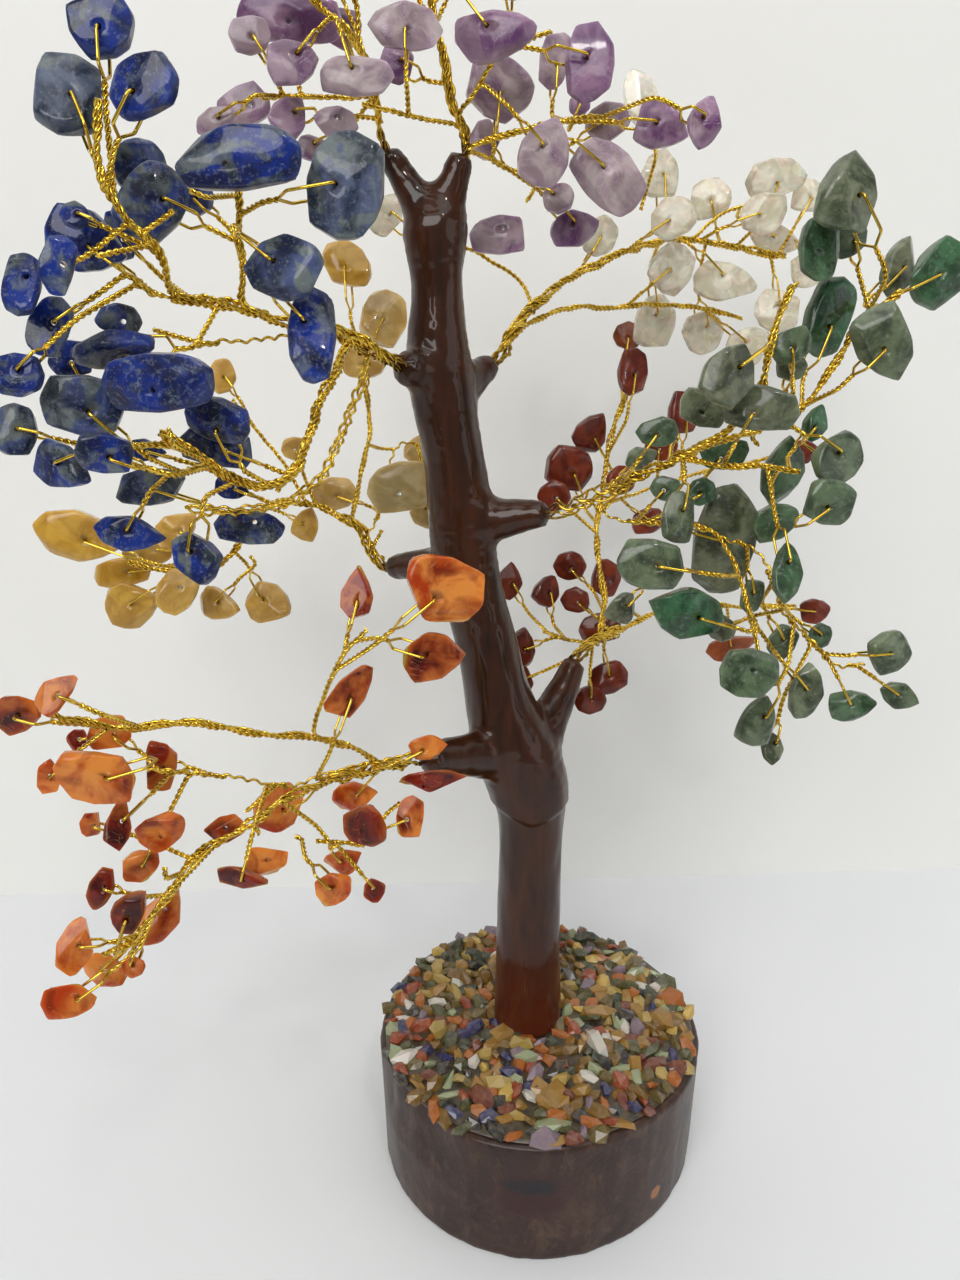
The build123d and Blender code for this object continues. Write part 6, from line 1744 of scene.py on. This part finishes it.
# The red jasper branch
# Red jasper: opaque and even brick red, rounded, with a low gloss and now and then a thin vein.
jasper_length, jasper_pixels = 9.5, 46
jasper_chips = (
    (628, 336, 34, 30, 0, -0.44, 10, "pebble", 0.75), (633, 372, 50, 32, 80, -0.40, 10, "slab", 0.15),
    (591, 433, 46, 38, 60, -0.38, 10, "wedge", 0.15), (569, 468, 52, 48, -20, -0.36, 10, "block", 0.15),
    (554, 496, 36, 34, 0, -0.32, 10, "pebble", 0.15), (684, 411, 48, 36, 80, -0.44, 10, "block", 0.15),
    (622, 480, 36, 30, 20, -0.35, 10, "pebble", 0.15), (660, 446, 38, 36, 0, -0.42, 10, "block", 0.15),
    (802, 452, 36, 32, 20, -0.52, 10, "wedge", 0.15), (648, 521, 38, 28, 10, -0.36, 10, "slab", 0.15),
    (570, 566, 36, 32, 0, -0.28, 10, "pebble", 0.15), (547, 590, 36, 30, 60, -0.28, 10, "wedge", 0.15),
    (576, 600, 32, 28, 0, -0.24, 10, "pebble", 0.15), (606, 578, 42, 32, 80, -0.30, 10, "block", 0.15),
    (716, 516, 30, 28, 0, -0.46, 10, "pebble", 0.15), (731, 647, 58, 34, 20, -0.38, 10, "shard", 0.9),
    (815, 611, 38, 32, 10, -0.48, 10, "wedge", 0.2), (608, 678, 42, 34, 20, -0.18, 10, "block", 0.2),
    (520, 648, 42, 34, 80, -0.22, 10, "wedge", 0.2), (519, 682, 42, 32, 80, -0.18, 10, "leaf", 0.2),
    (600, 628, 46, 32, 10, -0.25, 10, "slab", 0.2), (590, 700, 34, 30, 0, -0.15, 10, "pebble", 0.2),
    (509, 582, 44, 30, 80, -0.26, 10, "leaf", 0.2),
)
jasper, tree, shader, masks = stone_material(
    "jasper", cloud_scale=0.25, crack_width=0.01, fleck_scale=1.0,
    Roughness=0.26, Coat_Weight=0.32, Coat_Roughness=0.08, Specular_IOR_Level=0.2)
jasper_ends = (
    ((0.085, 0.011, 0.004), (0.18, 0.030, 0.011)),
    ((0.21, 0.048, 0.013), (0.35, 0.092, 0.026)),
)
jasper_layers = (("Crack", 0, 1, 0.5, (0.035, 0.008, 0.008)),)
stone_colour(tree, shader, masks, masks["tone"], (0.3, 1), jasper_ends, jasper_layers)
rough_skin(tree, shader, masks["Grain"], strength=0.2, distance=0.1)
dress_branch("jasper", jasper_chips, jasper_length / jasper_pixels, loose=(0, 15), stone=jasper,
             slot="jasper_stone", blunt=3.6, cuts=14, depth=0.3, softness=0.05, dent=0.014)


# The citrine branch
# Yellow quartz: honey-coloured to cream, cloudy, glowing where the light comes through.
citrine_length, citrine_pixels = 10.5, 56
citrine_chips = (
    (347, 264, 62, 50, -40, -0.34, 10, "leaf", 0.2), (384, 318, 66, 54, 70, -0.38, 10, "block", 0.6),
    (364, 362, 52, 36, 0, -0.30, 10, "slab", 0.4), (222, 376, 40, 30, 80, -0.28, 10, "pebble", 0.3),
    (404, 487, 76, 54, 10, -0.24, 10, "block", 0.9), (334, 494, 52, 36, 10, -0.22, 10, "slab", 0.5),
    (294, 448, 30, 26, 0, -0.20, 10, "pebble", 0.4), (306, 524, 38, 32, 70, -0.18, 10, "wedge", 0.3),
    (77, 536, 92, 60, -10, -0.12, 10, "leaf", 0.15), (122, 572, 66, 36, 10, -0.18, 15, "slab", 0.1),
    (132, 605, 62, 56, 10, -0.12, 10, "wedge", 0.2), (176, 592, 48, 42, 60, -0.14, 10, "block", 0.35),
    (218, 604, 50, 38, -20, -0.14, 10, "wedge", 0.4), (269, 604, 54, 50, -20, -0.15, 10, "wedge", 0.3),
    (421, 450, 44, 36, 20, -0.34, 10, "pebble", 0.8), (428, 512, 42, 38, 0, -0.28, 10, "pebble", 0.7),
    (150, 548, 60, 42, 10, -0.24, 10, "block", 0.3), (178, 528, 50, 40, 40, -0.22, 10, "wedge", 0.3),
)
citrine, tree, shader, masks = stone_material(
    "citrine", cloud_scale=0.22, crack_width=0.014, fleck_scale=0.9,
    Roughness=0.2, Coat_Weight=0.3, Coat_Roughness=0.07, Specular_IOR_Level=0.3,
    Subsurface_Weight=0.35, Subsurface_Scale=0.0026, Subsurface_Radius=(1.0, 0.7, 0.3))
citrine_ends = (
    ((0.37, 0.185, 0.010), (0.58, 0.335, 0.032)),
    ((0.43, 0.32, 0.125), (0.60, 0.475, 0.245)),
)
citrine_layers = (
    ("Patch", 0, 1, 0.25, (0.38, 0.17, 0.012)),
    # Painted light: the thin edges are made bright honey, a painted glow of light coming through them, on top of the
    # shader's subsurface
    ("thin", 0.3, 1, 0.3, (0.68, 0.43, 0.09)),
)
stone_colour(tree, shader, masks, masks["tone"], (0.1, 0.9), citrine_ends, citrine_layers)
rough_skin(tree, shader, masks["Grain"], strength=0.2, distance=0.1)
dress_branch("citrine", citrine_chips, citrine_length / citrine_pixels, loose=(0, 10), stone=citrine,
             slot="citrine_stone", blunt=3.6, cuts=14, depth=0.34, softness=0.05, dent=0.014)
